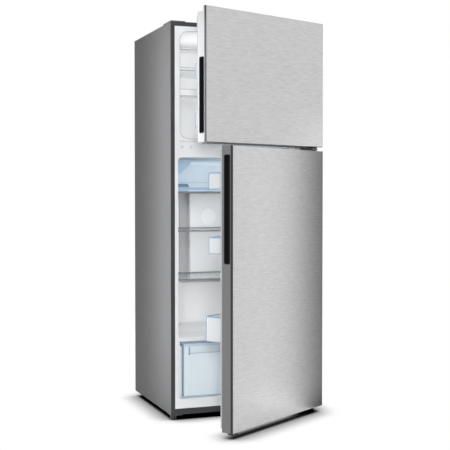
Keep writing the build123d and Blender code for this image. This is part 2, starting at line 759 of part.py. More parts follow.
def cap(side, height):
    """A moulded cover on one front corner of the cabinet top, hollow below."""
    x = sorted((side * (HALF_W - FIT), side * (HALF_W - CAP_W)))
    y = (deep(CAP_FRONT), deep(CAP_FRONT + CAP_D))
    shell = block(x, y, (TOP_Z, TOP_Z + height))
    upper = shell.edges().group_by(Axis.Z)[-1]
    shell = chamfer(upper + shell.edges().filter_by(Axis.Z), CAP_BEVEL)
    hollow_x = (x[0] + CAP_WALL, x[1] - CAP_WALL)
    hollow_z = (TOP_Z, TOP_Z + height - CAP_WALL)
    return shell - block(hollow_x, (y[0] + CAP_WALL, y[1] - CAP_WALL), hollow_z)


def top_hinge_cover():
    """Cover over the top hinge, open at the front where the arm comes out."""
    mouth_x = (HALF_W - CAP_W + CAP_WALL + MOUTH_PLAY, AXIS_X - HINGE_EYE_R + ARM_NARROW + MOUTH_PLAY)
    mouth = block(mouth_x, (deep(0), deep(CAP_FRONT + CAP_WALL)), (TOP_Z, TOP_Z + TOP_HINGE_T + MOUTH_PLAY))
    return cap(1, HINGE_COVER_H) - mouth


def blank_hinge_cover():
    """Low blank cover on the unused left hinge seat."""
    return cap(-1, BLANK_COVER_H)


def levelling_foot(x):
    """A screw foot with a many-sided grip."""
    y = deep(FOOT_BACK)
    pad = top_prism(Pos(x, y) * RegularPolygon(FOOT_R, FOOT_SIDES), 0, FOOT_PAD_H)
    return pad + rod_z(x, y, (FOOT_PAD_H, BASE_Z + BASE_T + NUT_H + FOOT_STUD_OUT), FOOT_STUD_R)


def roller_x(side):
    """X of a rear roller's middle."""
    return side * (HALF_W - ROLLER_IN)


def rear_roller(side):
    """A rear roller with its bore."""
    y = deep(CABINET_D - ROLLER_BACK)
    middle = roller_x(side)
    x = (middle - ROLLER_W / 2, middle + ROLLER_W / 2)
    return rod_x(x, y, ROLLER_R, ROLLER_R) - rod_x(x, y, ROLLER_R, AXLE_R + RUNNING)


def roller_brackets():
    """Two folded roller brackets, each with its riveted axle."""
    brackets = []
    y = deep(CABINET_D - ROLLER_BACK)
    y_span = (y - CHEEK_D / 2, y + CHEEK_D / 2)
    reach = ROLLER_W / 2 + FIT
    for side in (-1, 1):
        x = roller_x(side)
        top = (x - reach - CHEEK_T, x + reach + CHEEK_T)
        bracket = block(top, y_span, (BASE_Z - CHEEK_T, BASE_Z))
        for cheek in ((top[0], top[0] + CHEEK_T), (top[1] - CHEEK_T, top[1])):
            bracket = bracket + block(cheek, y_span, (ROLLER_R - AXLE_R - CHEEK_T, BASE_Z - CHEEK_T))
        brackets.append(bracket + rod_x(top, y, ROLLER_R, AXLE_R))
    return group(brackets)


def grommet_places():
    """Centres of the compressor's four mounts."""
    return [
        (SHELL_X + sx * (PLATE_W / 2 - GROMMET_IN_X), deep(SHELL_D) + sy * (PLATE_D / 2 - GROMMET_IN_Y))
        for sx in (-1, 1)
        for sy in (-1, 1)
    ]


def shell_outline(grow):
    """Top outline of the compressor shell, grown by a margin."""
    return RectangleRounded(2 * (SHELL_A + grow), 2 * (SHELL_B + grow), SHELL_CORNER + grow)


def compressor():
    """Welded compressor shell on its mounting plate."""
    place = Pos(SHELL_X, deep(SHELL_D))
    z = PLATE_Z + PLATE_T
    shell = top_prism(place * shell_outline(0), z, z + SHELL_H)
    shell = chamfer(shell.faces().sort_by(Axis.Z)[-1].edges(), SHELL_ROUND)
    shell = chamfer(shell.faces().sort_by(Axis.Z)[-1].edges(), SHELL_SOFT)
    weld_z = z + SHELL_H / 2
    shell = shell + top_prism(place * shell_outline(SHELL_WELD), weld_z, weld_z + SHELL_WELD_H)
    return shell + top_prism(place * RectangleRounded(PLATE_W, PLATE_D, PLATE_CORNER), PLATE_Z, z)


def compressor_grommets():
    """Rubber mounts under the compressor's plate."""
    low = BASE_Z + BASE_PLATE_T
    outline = RegularPolygon(GROMMET_R, GROMMET_SIDES)
    return group([top_prism(Pos(*place) * outline, low, PLATE_Z) for place in grommet_places()])


def relay_cover():
    """Plastic cover over the compressor's terminals."""
    y = deep(SHELL_D)
    z = (PLATE_Z + PLATE_T + RELAY_RISE, PLATE_Z + PLATE_T + RELAY_RISE + RELAY_H)
    x = (SHELL_X + SHELL_A - RELAY_SINK, SHELL_X + SHELL_A + RELAY_L)
    cover = block(x, (y - RELAY_W / 2, y + RELAY_W / 2), z)
    cover = fillet(cover.edges().filter_by(Axis.Z).group_by(Axis.X)[-1], RELAY_R)
    return cover - top_prism(Pos(SHELL_X, y) * shell_outline(FIT), *z)


def drip_tray():
    """Evaporation tray on top of the compressor."""
    y = deep(SHELL_D)
    z = PLATE_Z + PLATE_T + SHELL_H
    x_span = (SHELL_X - TRAY_W / 2, SHELL_X + TRAY_W / 2)
    return tray(x_span, (y - TRAY_D / 2, y + TRAY_D / 2), (z, z + TRAY_H), TRAY_WALL, TRAY_CORNER)


def pipe(start, corner, end):
    """A copper pipe with one right-angled bend made of short straight lengths."""
    into = (Vector(*corner) - Vector(*start)).normalized()
    out = (Vector(*end) - Vector(*corner)).normalized()
    centre = Vector(*corner) + (out - into) * PIPE_BEND
    turns = [math.pi / 2 * step / PIPE_STEPS for step in range(PIPE_STEPS + 1)]
    bend = [centre + (into * math.sin(turn) - out * math.cos(turn)) * PIPE_BEND for turn in turns]
    path = Polyline(start, *bend, end)
    return sweep(Plane(path @ 0, z_dir=path % 0) * Circle(PIPE_R), path, transition=Transition.RIGHT)


def refrigerant_pipes():
    """Discharge pipe with its drier, and the suction pipe, up to the compartment's ceiling."""
    left = SHELL_X - SHELL_A
    low = PLATE_Z + PLATE_T + PIPE_RISE
    mid_y = deep(SHELL_D)
    drier_x = left - DRIER_RUN
    drier_z = low + DRIER_RISE
    drier_top = drier_z + DRIER_L + 2 * DRIER_NECK
    discharge = pipe((left, mid_y, low), (drier_x, mid_y, low), (drier_x, mid_y, drier_z))
    profile = face_of(
        (0, 0),
        (PIPE_R, 0),
        (DRIER_R, DRIER_NECK),
        (DRIER_R, DRIER_NECK + DRIER_L),
        (PIPE_R, 2 * DRIER_NECK + DRIER_L),
        (0, 2 * DRIER_NECK + DRIER_L),
    )
    drier = Pos(drier_x, mid_y, drier_z) * revolve(Plane.XZ * profile, Axis.Z)
    tail = rod_z(drier_x, mid_y, (drier_top, MACHINE_TOP), PIPE_R)
    suction_z = PLATE_Z + PLATE_T + SUCTION_RISE
    suction_x = left - SUCTION_RUN
    suction = pipe((left, mid_y, suction_z), (suction_x, mid_y, suction_z), (suction_x, mid_y, MACHINE_TOP))
    return group([discharge, drier, tail, suction])


def rear_cover():
    """Louvred cover of the machine compartment."""
    y = (deep(CABINET_D - SHEET - COVER_T), deep(CABINET_D - SHEET))
    inside = HALF_W - SHEET
    cover = block((-inside, inside), y, (BASE_Z, MACHINE_TOP))
    pitch_x = 2 * (inside - COVER_SIDE_MARGIN) / COVER_SLOT_COLUMNS
    pitch_z = (MACHINE_H - 2 * COVER_END_MARGIN) / COVER_SLOT_ROWS
    middle = (BASE_Z + MACHINE_TOP) / 2
    slots = Sketch()
    for column in range(COVER_SLOT_COLUMNS):
        for row in range(COVER_SLOT_ROWS):
            x = (column - (COVER_SLOT_COLUMNS - 1) / 2) * pitch_x
            z = middle + (row - (COVER_SLOT_ROWS - 1) / 2) * pitch_z
            slots += Pos(x, z) * Rectangle(COVER_SLOT_W, COVER_SLOT_H)
    return cover - front_prism(slots, *y)


def freezer_shelf_glass():
    """Glass panes of both freezer shelves."""
    half = FREEZER_HALF - FREEZER_GLASS_PLAY
    panes = []
    for top in freezer_shelf_levels():
        y = (deep(FREEZER_SHELF_FRONT + TRIM_D / 2), deep(AIR_PANEL_D - FREEZER_GLASS_BACK))
        panes.append(block((-half, half), y, (top - FREEZER_GLASS, top)))
    return group(panes)


def freezer_shelf_trims():
    """White front trims of the freezer shelves, the lower one a deep apron."""
    half = FREEZER_HALF - FREEZER_TRIM_PLAY
    y = (deep(FREEZER_SHELF_FRONT), deep(FREEZER_SHELF_FRONT + TRIM_D))
    trims = []
    for top, height in zip(freezer_shelf_levels(), FREEZER_TRIM_HEIGHTS):
        trim_top = top + FREEZER_TRIM_PROUD
        trim = block((-half, half), y, (trim_top - height, trim_top))
        trim = chamfer(trim.edges().filter_by(Axis.X).group_by(Axis.Y)[0], TRIM_BEVEL)
        trims.append(trim - freezer_shelf_glass())
    return group(trims)


def fridge_shelf_glass():
    """Glass panes of the chiller shelf and the two fridge shelves."""
    half = FRIDGE_HALF - GLASS_PLAY
    panes = []
    for top in fridge_shelf_levels():
        y = (deep(SHELF_FRONT + TRIM_D / 2), deep(SHELF_BACK - TRIM_D / 2))
        panes.append(block((-half, half), y, (top - FRIDGE_GLASS, top)))
    return group(panes)


def fridge_shelf_trims():
    """Front and rear trims gripping the fridge panes."""
    half = FRIDGE_HALF - TRIM_PLAY
    trims = []
    for top in fridge_shelf_levels():
        z = (top + TRIM_PROUD - TRIM_H, top + TRIM_PROUD)
        if top == CHILLER_SHELF_Z:
            z = (top - TRIM_H, top)
        for y0 in (SHELF_FRONT, SHELF_BACK - TRIM_D):
            trim = block((-half, half), (deep(y0), deep(y0 + TRIM_D)), z)
            if y0 == SHELF_FRONT:
                trim = chamfer(trim.edges().filter_by(Axis.X).group_by(Axis.Y)[0], TRIM_BEVEL)
            trims.append(trim - fridge_shelf_glass())
    return group(trims)


def crisper_cover():
    """Glass cover over the crispers."""
    half = FRIDGE_HALF - COVER_PLAY
    top = CRISPER_COVER_Z - TRIM_PROUD
    y = (deep(CRISPER_FRONT + CRISPER_TRIM_D / 2), deep(HUMP_TOP_D - COVER_GLASS_BACK))
    return block((-half, half), y, (top - COVER_GLASS, top))


def crisper_trim():
    """White front trim of the crisper cover."""
    half = FRIDGE_HALF - COVER_TRIM_PLAY
    y = (deep(CRISPER_FRONT), deep(CRISPER_FRONT + CRISPER_TRIM_D))
    trim = block((-half, half), y, (CRISPER_COVER_Z - CRISPER_TRIM_H, CRISPER_COVER_Z))
    trim = chamfer(trim.edges().filter_by(Axis.X).group_by(Axis.Y)[0], CRISPER_TRIM_BEVEL)
    return trim - crisper_cover()


def chiller_drawer():
    """Clear drawer across the top of the fridge with a runner along each side, on the chiller shelf."""
    half = FRIDGE_HALF - CHILLER_SIDE
    x = (-half, half)
    y = (deep(SHELF_FRONT + CHILLER_SET), deep(FRIDGE_DEEP - CHILLER_BACK))
    z = (CHILLER_SHELF_Z + FIT, FRIDGE_TOP - CHILLER_CLEAR)
    drawer = tray(x, y, z, CHILLER_WALL, CHILLER_CORNER)
    drawer = drawer + rim(x, y, (z[1] - DRAWER_RIM_H, z[1]), CHILLER_WALL, CHILLER_CORNER, DRAWER_RIM)
    pieces = [drawer]
    for side in (-1, 1):
        runner_x = sorted((side * (half - CHILLER_WALL), side * (half - CHILLER_WALL - RUNNER_W)))
        runner_y = (y[0] + CHILLER_CORNER, y[1] - CHILLER_CORNER)
        runner = block(runner_x, runner_y, (z[0] + CHILLER_WALL, z[0] + CHILLER_WALL + RUNNER_H))
        step = runner.edges().filter_by(Axis.Y).group_by(Axis.Z)[-1].sort_by(Axis.X)
        pieces.append(chamfer(step[-1] if side < 0 else step[0], RUNNER_H / 3))
    return group(pieces)


def crisper(side):
    """A clear crisper with a pull recess, floor ribs and a rim."""
    outer = FRIDGE_HALF - CRISPER_SIDE
    x = sorted((side * outer, side * CRISPER_SPLIT / 2))
    y = (deep(CRISPER_FRONT + CRISPER_SET), deep(CRISPER_BACK))
    z = (FRIDGE_FLOOR + CRISPER_LIFT, CRISPER_TOP)
    drawer = tray(x, y, z, CRISPER_WALL, CRISPER_CORNER)
    edge_x = (x[0] - CRISPER_RIM, x[1]) if side < 0 else (x[0], x[1] + CRISPER_RIM)
    drawer = drawer + crisper_rim(edge_x, x, y, z[1])
    pull_x = (x[0] + PULL_END, x[1] - PULL_END)
    pull_z = (z[1] - PULL_DROP - PULL_H, z[1] - PULL_DROP)
    hood = block(pull_x, (y[0], y[0] + PULL_D + CRISPER_WALL), pull_z)
    inner_z = (pull_z[0] + CRISPER_WALL, pull_z[1] - CRISPER_WALL)
    inner_x = (pull_x[0] + CRISPER_WALL, pull_x[1] - CRISPER_WALL)
    drawer = drawer + hood - block(inner_x, (y[0], y[0] + PULL_D), inner_z)
    rib_y = (y[0] + RIB_END, y[1] - RIB_END)
    pitch = (x[1] - x[0]) / (RIB_COUNT + 1)
    floor = z[0] + CRISPER_WALL
    for step in range(1, RIB_COUNT + 1):
        rib_x = x[0] + step * pitch
        drawer = drawer + block((rib_x - RIB_W / 2, rib_x + RIB_W / 2), rib_y, (floor, floor + RIB_H))
    return drawer


def crisper_rim(edge_x, x, y, top):
    """A crisper's rim, standing out at its outer side."""
    z = (top - CRISPER_RIM_H, top)
    width = edge_x[1] - edge_x[0]
    centre = Pos((edge_x[0] + edge_x[1]) / 2, (y[0] + y[1]) / 2)
    outer = top_prism(centre * RectangleRounded(width, y[1] - y[0], CRISPER_CORNER), *z)
    hollow_x = (x[0] + CRISPER_WALL, x[1] - CRISPER_WALL)
    hollow_w = hollow_x[1] - hollow_x[0]
    hollow_d = y[1] - y[0] - 2 * CRISPER_WALL
    middle = Pos((x[0] + x[1]) / 2, (y[0] + y[1]) / 2)
    hollow = RectangleRounded(hollow_w, hollow_d, CRISPER_CORNER - CRISPER_WALL)
    return outer - top_prism(middle * hollow, *z)


def cooling_plate():
    """Grey metal plate on the fridge's back wall, behind the duct."""
    z = (LOWER_SHELF_Z - PLATE_BOTTOM_DROP, FRIDGE_TOP - DUCT_TOP_CLEAR)
    outline = Pos(0, (z[0] + z[1]) / 2) * RectangleRounded(2 * PLATE_HALF_W, z[1] - z[0], PLATE_R)
    back = FRIDGE_DEEP - FIT
    return front_prism(outline, deep(back - PLATE_SKIN), deep(back))


def fridge_duct_panel():
    """White air duct cover on the back wall, with outlets in its sides above each glass shelf."""
    back = deep(FRIDGE_DEEP - FIT - PLATE_SKIN)
    front = back - DUCT_D
    half = DUCT_W / 2
    z = (LOWER_SHELF_Z - PLATE_BOTTOM_DROP + DUCT_RISE, FRIDGE_TOP - DUCT_TOP_CLEAR)
    duct = block((-half, half), (front, back), z)
    duct = fillet(duct.edges().filter_by(Axis.Z).group_by(Axis.Y)[0], DUCT_R)
    inner_x = (-half + DUCT_WALL, half - DUCT_WALL)
    duct = duct - block(inner_x, (front + DUCT_WALL, back), (z[0] + DUCT_WALL, z[1] - DUCT_WALL))
    slot_y = (front + DUCT_SLOT_FRONT, front + DUCT_SLOT_FRONT + DUCT_SLOT_D)
    for level in (UPPER_SHELF_Z, LOWER_SHELF_Z):
        for step in range(DUCT_SLOT_ROWS):
            low = level + DUCT_SLOT_RISE + DUCT_SLOT_PITCH * step
            duct = duct - block((-half, half), slot_y, (low, low + DUCT_SLOT_H))
    return duct


def vent_disc():
    """Round vent cover on the duct."""
    front = deep(FRIDGE_DEEP - FIT - PLATE_SKIN) - DUCT_D
    return rod_y(0, (front - VENT_T, front), UPPER_SHELF_Z + VENT_RISE, VENT_R)


def lamp_lens():
    """Lens of the interior lamp in the fridge ceiling."""
    z = (FRIDGE_TOP - LAMP_H - FIT, FRIDGE_TOP - FIT)
    lens = block((-LAMP_W / 2, LAMP_W / 2), (deep(LAMP_FRONT), deep(LAMP_FRONT + LAMP_D)), z)
    return chamfer(lens.faces().sort_by(Axis.Z)[0].edges(), LAMP_BEVEL)


def freezer_air_panel():
    """Panel before the evaporator, with an outlet grille, fan grille and return slots."""
    y = (deep(AIR_PANEL_D), deep(AIR_PANEL_D + AIR_PANEL_T))
    panel = freezer_cavity(-FIT) & block((-HALF_W, HALF_W), y, (0, TOP_Z))
    outlet_z = FREEZER_TOP - OUTLET_DROP - OUTLET_H / 2
    pitch = OUTLET_W / OUTLET_BARS
    cuts = Sketch()
    for step in range(OUTLET_BARS):
        x = (step - (OUTLET_BARS - 1) / 2) * pitch
        cuts += Pos(x, outlet_z) * Rectangle(pitch - OUTLET_BAR_W, OUTLET_H)
    pitch = EVAPORATOR_W / RETURN_SLOTS
    for step in range(RETURN_SLOTS):
        x = (step - (RETURN_SLOTS - 1) / 2) * pitch
        cuts += Pos(x, FREEZER_SILL + RETURN_RISE) * Rectangle(RETURN_W, RETURN_H)
    for place in PolarLocations(GRILLE_R, GRILLE_SLOTS):
        cuts += Pos(0, FAN_Z) * place * Rectangle(GRILLE_SLOT_L, GRILLE_SLOT_W)
    panel = panel - front_prism(cuts, *y)
    return panel - rod_y(DIAL_X, y, FAN_Z, DIAL_SHAFT_R + RUNNING)


def freezer_dial():
    """Air flow dial with a raised grip and a clipped shaft through the air panel."""
    front = deep(AIR_PANEL_D) - FIT
    back = deep(AIR_PANEL_D + AIR_PANEL_T) + FIT
    place = Pos(DIAL_X, FAN_Z)
    dial = front_prism(place * RegularPolygon(DIAL_R, DIAL_SIDES), front - DIAL_DISC_T, front)
    grip = Rectangle(DIAL_GRIP_W, 2 * (DIAL_R - DIAL_GRIP_IN))
    dial = dial + front_prism(place * grip, front - DIAL_H, front - DIAL_DISC_T)
    dial = dial + rod_y(DIAL_X, (front, back), FAN_Z, DIAL_SHAFT_R)
    return dial + front_prism(place * RegularPolygon(DIAL_CLIP_R, DIAL_CLIP_SIDES), back, back + DIAL_CLIP_T)


def evaporator():
    """Finned evaporator block with its return bends."""
    back = deep(FREEZER_DEEP - FIT)
    front = back - EVAPORATOR_D
    mid = (front + back) / 2
    z = (EVAPORATOR_Z, EVAPORATOR_Z + EVAPORATOR_H)
    half = EVAPORATOR_W / 2
    pitch = (EVAPORATOR_W - FIN_T) / (FIN_COUNT - 1)
    outline = Pos(0, mid) * Rectangle(EVAPORATOR_W, CORE_T)
    for step in range(FIN_COUNT):
        outline += Pos(-half + FIN_T / 2 + step * pitch, mid) * Rectangle(FIN_T, EVAPORATOR_D)
    core = top_prism(outline, z[0], z[1])
    gap = EVAPORATOR_H / BEND_COUNT
    for side in (-1, 1):
        for step in range(BEND_COUNT):
            bend = Pos(side * half, z[0] + gap * (step + 0.5)) * Rectangle(2 * BEND_R, BEND_H)
            core = core + front_prism(bend, mid - PIPE_R, mid + PIPE_R)
    return core


def defrost_heater():
    """Glass tube heater under the evaporator with a square cap at each end."""
    y = deep(FREEZER_DEEP - FIT) - EVAPORATOR_D / 2
    z = EVAPORATOR_Z - FIT - HEATER_R
    half = EVAPORATOR_W / 2
    heater = rod_x((-half, half), y, z, HEATER_R)
    reach = HEATER_CAP_W / 2
    for side in (-1, 1):
        ends = sorted((side * half, side * (half + HEATER_CAP_L)))
        heater = heater + block(ends, (y - reach, y + reach), (z - reach, z + reach))
    return heater


def fan_motor():
    """Fan motor on the freezer's back wall with its shaft towards the air panel."""
    back = deep(FREEZER_DEEP - FIT)
    front = back - MOTOR_L
    reach = MOTOR_W / 2
    motor = block((-reach, reach), (front, back), (FAN_Z - reach, FAN_Z + reach))
    motor = chamfer(motor.edges().filter_by(Axis.Y), MOTOR_BEVEL)
    return motor + rod_y(0, (front - SHAFT_L, front), FAN_Z, SHAFT_R)


def fan_blade():
    """A hollowed blade standing out along X from the fan's axis, with a round tip."""
    half = BLADE_CHORD / 2
    inner = FAN_HUB_R - BLADE_SINK
    lower = ThreePointArc((-half, 0), (0, BLADE_CAMBER), (half, 0))
    upper = ThreePointArc((half, BLADE_T), (0, BLADE_CAMBER + BLADE_T), (-half, BLADE_T))
    sides = (Line((half, 0), (half, BLADE_T)), Line((-half, BLADE_T), (-half, 0)))
    section = make_face([lower, sides[0], upper, sides[1]])
    section = Rot(0, 0, BLADE_PITCH) * Pos(0, -BLADE_CAMBER / 2) * section
    plane = Plane((inner, 0, 0), x_dir=(0, 0, 1), z_dir=(1, 0, 0))
    return extrude(plane * section, amount=FAN_R - inner) & rod_y(0, (-FAN_R, FAN_R), 0, FAN_R)


def evaporator_fan():
    """Fan of hollowed blades on a capped hub."""
    back = deep(FREEZER_DEEP - FIT) - MOTOR_L - FAN_GAP
    front = back - FAN_HUB_L
    hub = rod_y(0, (front, back), FAN_Z, FAN_HUB_R)
    hub = chamfer(hub.edges().filter_by(GeomType.CIRCLE).sort_by(Axis.Y)[0], FAN_HUB_BEVEL)
    blade = fan_blade()
    for step in range(FAN_BLADES):
        turn = Rot(0, step * 360 / FAN_BLADES, 0)
        hub = hub + Pos(0, (front + back) / 2, FAN_Z) * turn * blade
    shaft_end = deep(FREEZER_DEEP - FIT) - MOTOR_L - SHAFT_L
    return hub - rod_y(0, (shaft_end - FIT, back), FAN_Z, SHAFT_R + RUNNING)


def door_panel(z):
    """Brushed steel front panel with folded edges."""
    outer = block((-HALF_W, HALF_W), (leaf(0), leaf(PANEL_EDGE)), z)
    outer = fillet(outer.faces().sort_by(Axis.Y)[0].edges(), PANEL_R)
    inside = HALF_W - PANEL_T
    inner_z = (z[0] + PANEL_T, z[1] - PANEL_T)
    inner = block((-inside, inside), (leaf(PANEL_T), leaf(PANEL_EDGE)), inner_z)
    inner = fillet(inner.faces().sort_by(Axis.Y)[0].edges(), PANEL_R - PANEL_T)
    return outer - inner


def door_side_outline(z, rear_top, margin):
    """Side outline of a door behind its panel, with the raised front lip if it has one."""
    low = z[0] + margin
    lip = LIP_T - margin + SHADOW if rear_top < z[1] - SHADOW else DOOR_T
    top = z[1] - margin
    rear = min(rear_top - margin + SHADOW, top)
    return face_of(
        (leaf(PANEL_EDGE), low),
        (leaf(DOOR_T), low),
        (leaf(DOOR_T), rear),
        (leaf(lip), rear),
        (leaf(lip), top),
        (leaf(PANEL_EDGE), top),
    ) if lip < DOOR_T else face_of(
        (leaf(PANEL_EDGE), low),
        (leaf(DOOR_T), low),
        (leaf(DOOR_T), top),
        (leaf(PANEL_EDGE), top),
    )


def bush_spans(z, rear_top):
    """Z limits of a door's bottom and top hinge bushes."""
    return ((z[0] + SHADOW, z[0] + SHADOW + BUSH_L), (rear_top - BUSH_L, rear_top))


def grip_room(grip, depth, margin):
    """Space of a grip cup in the free edge, inside a margin."""
    mid = leaf(GRIP_FRONT + GRIP_W / 2)
    outline = Pos(mid, (grip[0] + grip[1]) / 2)
    outline = outline * RectangleRounded(GRIP_W - 2 * margin, grip[1] - grip[0] - 2 * margin, GRIP_R - margin)
    return side_prism(outline, -HALF_W + SHADOW, -HALF_W + SHADOW + depth)


def door_frame(z, rear_top, grip):
    """Side and end rails behind the panel, with a hinge bush on each end rail and lengths round the grip."""
    half = HALF_W - SHADOW
    wall = SHADOW + FRAME_WALL
    inside = HALF_W - wall
    outline = door_side_outline(z, rear_top, SHADOW)
    grip_rail = side_prism(outline, -half, -inside) - grip_room(grip, FRAME_WALL, 0)
    beside_grip = block((-HALF_W, -inside), (leaf(0), leaf(DOOR_T)), grip)
    lengths = (grip_rail - beside_grip).solids() + (grip_rail & beside_grip).solids()
    hinge_rail = side_prism(outline, inside, half)
    ends = side_prism(outline, -inside, inside)
    ends = ends - side_prism(door_side_outline(z, rear_top, wall), -inside, inside)
    for span in bush_spans(z, rear_top):
        ends = ends + rod_z(AXIS_X, AXIS_Y, span, BUSH_R)
        ends = ends - rod_z(AXIS_X, AXIS_Y, span, PIN_R + RUNNING)
    return group([*lengths, hinge_rail, *ends.solids()])


def door_grip(grip):
    """Black grip cup let into the free edge."""
    return grip_room(grip, GRIP_DEPTH, 0) - grip_room(grip, GRIP_DEPTH - GRIP_WALL, GRIP_WALL)


def bulge(x_half, z, shrink):
    """Raised middle of a door's inner liner."""
    width = 2 * (x_half - shrink)
    height = z[1] - z[0] - 2 * shrink
    outline = Pos(0, (z[0] + z[1]) / 2) * RectangleRounded(width, height, BULGE_R)
    return front_prism(outline, leaf(DOOR_T - LINER), leaf(DOOR_T + BULGE - shrink))


def door_liner(z, rear_top, x_half, bulge_z):
    """White inner liner with its raised middle."""
    wall = SHADOW + FRAME_WALL + FIT
    top = min(rear_top, z[1]) - wall
    plate_x = (-HALF_W + wall, HALF_W - wall)
    plate = block(plate_x, (leaf(DOOR_T - LINER), leaf(DOOR_T)), (z[0] + wall, top))
    return plate + bulge(x_half, bulge_z, 0) - bulge(x_half, bulge_z, LINER)


def door_foam(z, rear_top, x_half, bulge_z, grip):
    """Insulation filling a door."""
    wall = SHADOW + FRAME_WALL
    inside = HALF_W - wall
    core = side_prism(door_side_outline(z, rear_top, wall), -inside, inside)
    core = core - block((-HALF_W, HALF_W), (leaf(DOOR_T - LINER), leaf(DOOR_T)), z)
    front_y = (leaf(PANEL_R), leaf(PANEL_EDGE))
    front = block((-inside, inside), front_y, (z[0] + wall, z[1] - wall))
    core = core + front + bulge(x_half, bulge_z, LINER)
    for span in bush_spans(z, rear_top):
        core = core - rod_z(AXIS_X, AXIS_Y, span, BUSH_R)
    return core - grip_room(grip, GRIP_DEPTH, 0)


def door_gasket(z, rear_top):
    """Magnetic gasket with a narrower sealing bead on its foot."""
    top = min(rear_top, z[1]) - GASKET_IN
    low = z[0] + GASKET_IN
    foot_back = DOOR_T + GASKET_FOOT_H
    foot = door_ring((low, top), 0, GASKET_W, (DOOR_T, foot_back))
    return foot + door_ring((low, top), GASKET_NIP, GASKET_W - GASKET_NIP, (foot_back, DOOR_T + GASKET_H))


def door_ring(z, outer_in, inner_in, behind):
    """A square ring on a door's inner side, between two insets from the gasket's outline."""
    x = (-HALF_W + GASKET_FREE_IN, HALF_W - GASKET_IN)
    y = (leaf(behind[0]), leaf(behind[1]))
    outer_x = (x[0] + outer_in, x[1] - outer_in)
    inner_x = (x[0] + inner_in, x[1] - inner_in)
    ring = block(outer_x, y, (z[0] + outer_in, z[1] - outer_in))
    return ring - block(inner_x, y, (z[0] + inner_in, z[1] - inner_in))


def door_bin(inset, depth, low, height):
    """A clear bin hung on a door's inner liner."""
    x = (-HALF_W + inset, HALF_W - inset)
    y = (leaf(DOOR_T + BULGE), leaf(DOOR_T + BULGE + depth))
    return tray(x, y, (low, low + height), BIN_WALL, BIN_CORNER)


def freezer_door_nodes():
    """Every piece of the freezer door, standing ajar."""
    z = (FREEZER_DOOR_Z, LIP_Z)
    grip = (z[0] + GRIP_SET, z[0] + GRIP_SET + FREEZER_GRIP_L)
    half = FREEZER_HALF - FREEZER_BULGE_LAP
    bulge_z = (FREEZER_SILL + FREEZER_BULGE_LAP, FREEZER_TOP - FREEZER_BULGE_LAP)
    lows = [FREEZER_SILL + rise for rise in FREEZER_BIN_RISES]
    bins = [door_bin(FREEZER_BIN_INSET, FREEZER_BIN_D, low, FREEZER_BIN_H) for low in lows]
    pieces = {
        "freezer_door_panel": door_panel(z),
        "freezer_door_frame": door_frame(z, FREEZER_REAR_TOP, grip),
        "freezer_door_foam": door_foam(z, FREEZER_REAR_TOP, half, bulge_z, grip),
        "freezer_door_liner": door_liner(z, FREEZER_REAR_TOP, half, bulge_z),
        "freezer_door_gasket": door_gasket(z, FREEZER_REAR_TOP),
        "freezer_door_grip": door_grip(grip),
        "freezer_door_bins": group(bins),
    }
    return {name: swing(piece, FREEZER_OPEN) for name, piece in pieces.items()}


def fridge_door_nodes():
    """Every piece of the fridge door, standing ajar."""
    z = (FRIDGE_DOOR_Z, FRIDGE_DOOR_TOP)
    grip = (z[1] - GRIP_SET - FRIDGE_GRIP_L, z[1] - GRIP_SET)
    half = FRIDGE_HALF - FRIDGE_BULGE_LAP
    bulge_z = (FRIDGE_FLOOR + FRIDGE_BULGE_LAP, FRIDGE_TOP - FRIDGE_BULGE_LAP)
    lows = [FRIDGE_TOP - drop for drop in FRIDGE_BIN_DROPS]
    bins = [door_bin(FRIDGE_BIN_INSET, FRIDGE_BIN_D, low, FRIDGE_BIN_H) for low in lows]
    bottle_low = FRIDGE_FLOOR + BOTTLE_BIN_RISE
    pieces = {
        "fridge_door_panel": door_panel(z),
        "fridge_door_frame": door_frame(z, z[1] - SHADOW, grip),
        "fridge_door_foam": door_foam(z, z[1] - SHADOW, half, bulge_z, grip),
        "fridge_door_liner": door_liner(z, z[1] - SHADOW, half, bulge_z),
        "fridge_door_gasket": door_gasket(z, z[1]),
        "fridge_door_grip": door_grip(grip),
        "fridge_door_bins": group(bins),
        "bottle_bin": door_bin(BOTTLE_BIN_INSET, BOTTLE_BIN_D, bottle_low, BOTTLE_BIN_H),
    }
    return {name: swing(piece, FRIDGE_OPEN) for name, piece in pieces.items()}


CABINET_NODES = (
    outer_wrapper,
    front_frame,
    back_panel,
    base_panel,
    compressor_base,
    mullion_rail,
    cabinet_foam,
    freezer_liner,
    fridge_liner,
    top_hinge,
    middle_hinge,
    bottom_hinge,
    top_hinge_cover,
    blank_hinge_cover,
    roller_brackets,
    compressor,
    compressor_grommets,
    relay_cover,
    drip_tray,
    refrigerant_pipes,
    rear_cover,
    freezer_shelf_glass,
    freezer_shelf_trims,
    fridge_shelf_glass,
    fridge_shelf_trims,
    crisper_cover,
    crisper_trim,
    chiller_drawer,
    cooling_plate,
    fridge_duct_panel,
    vent_disc,
    lamp_lens,
    freezer_air_panel,
    freezer_dial,
    evaporator,
    defrost_heater,
    fan_motor,
    evaporator_fan,
)


def build():
    """Makes every node and writes one file for each."""
    nodes = {make.__name__: make() for make in CABINET_NODES}
    for name, x in foot_places().items():
        nodes["levelling_foot_" + name] = levelling_foot(x)
    for name, side in (("left", -1), ("right", 1)):
        nodes["rear_roller_" + name] = rear_roller(side)
        nodes["crisper_" + name] = crisper(side)
    nodes.update(freezer_door_nodes())
    nodes.update(fridge_door_nodes())
    os.makedirs("parts", exist_ok=True)
    for name, shape in nodes.items():
        export_step(shape, "parts/" + name + ".step")


build()
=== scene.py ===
import json
import math

import bmesh
import bpy
from mathutils import Matrix, Vector


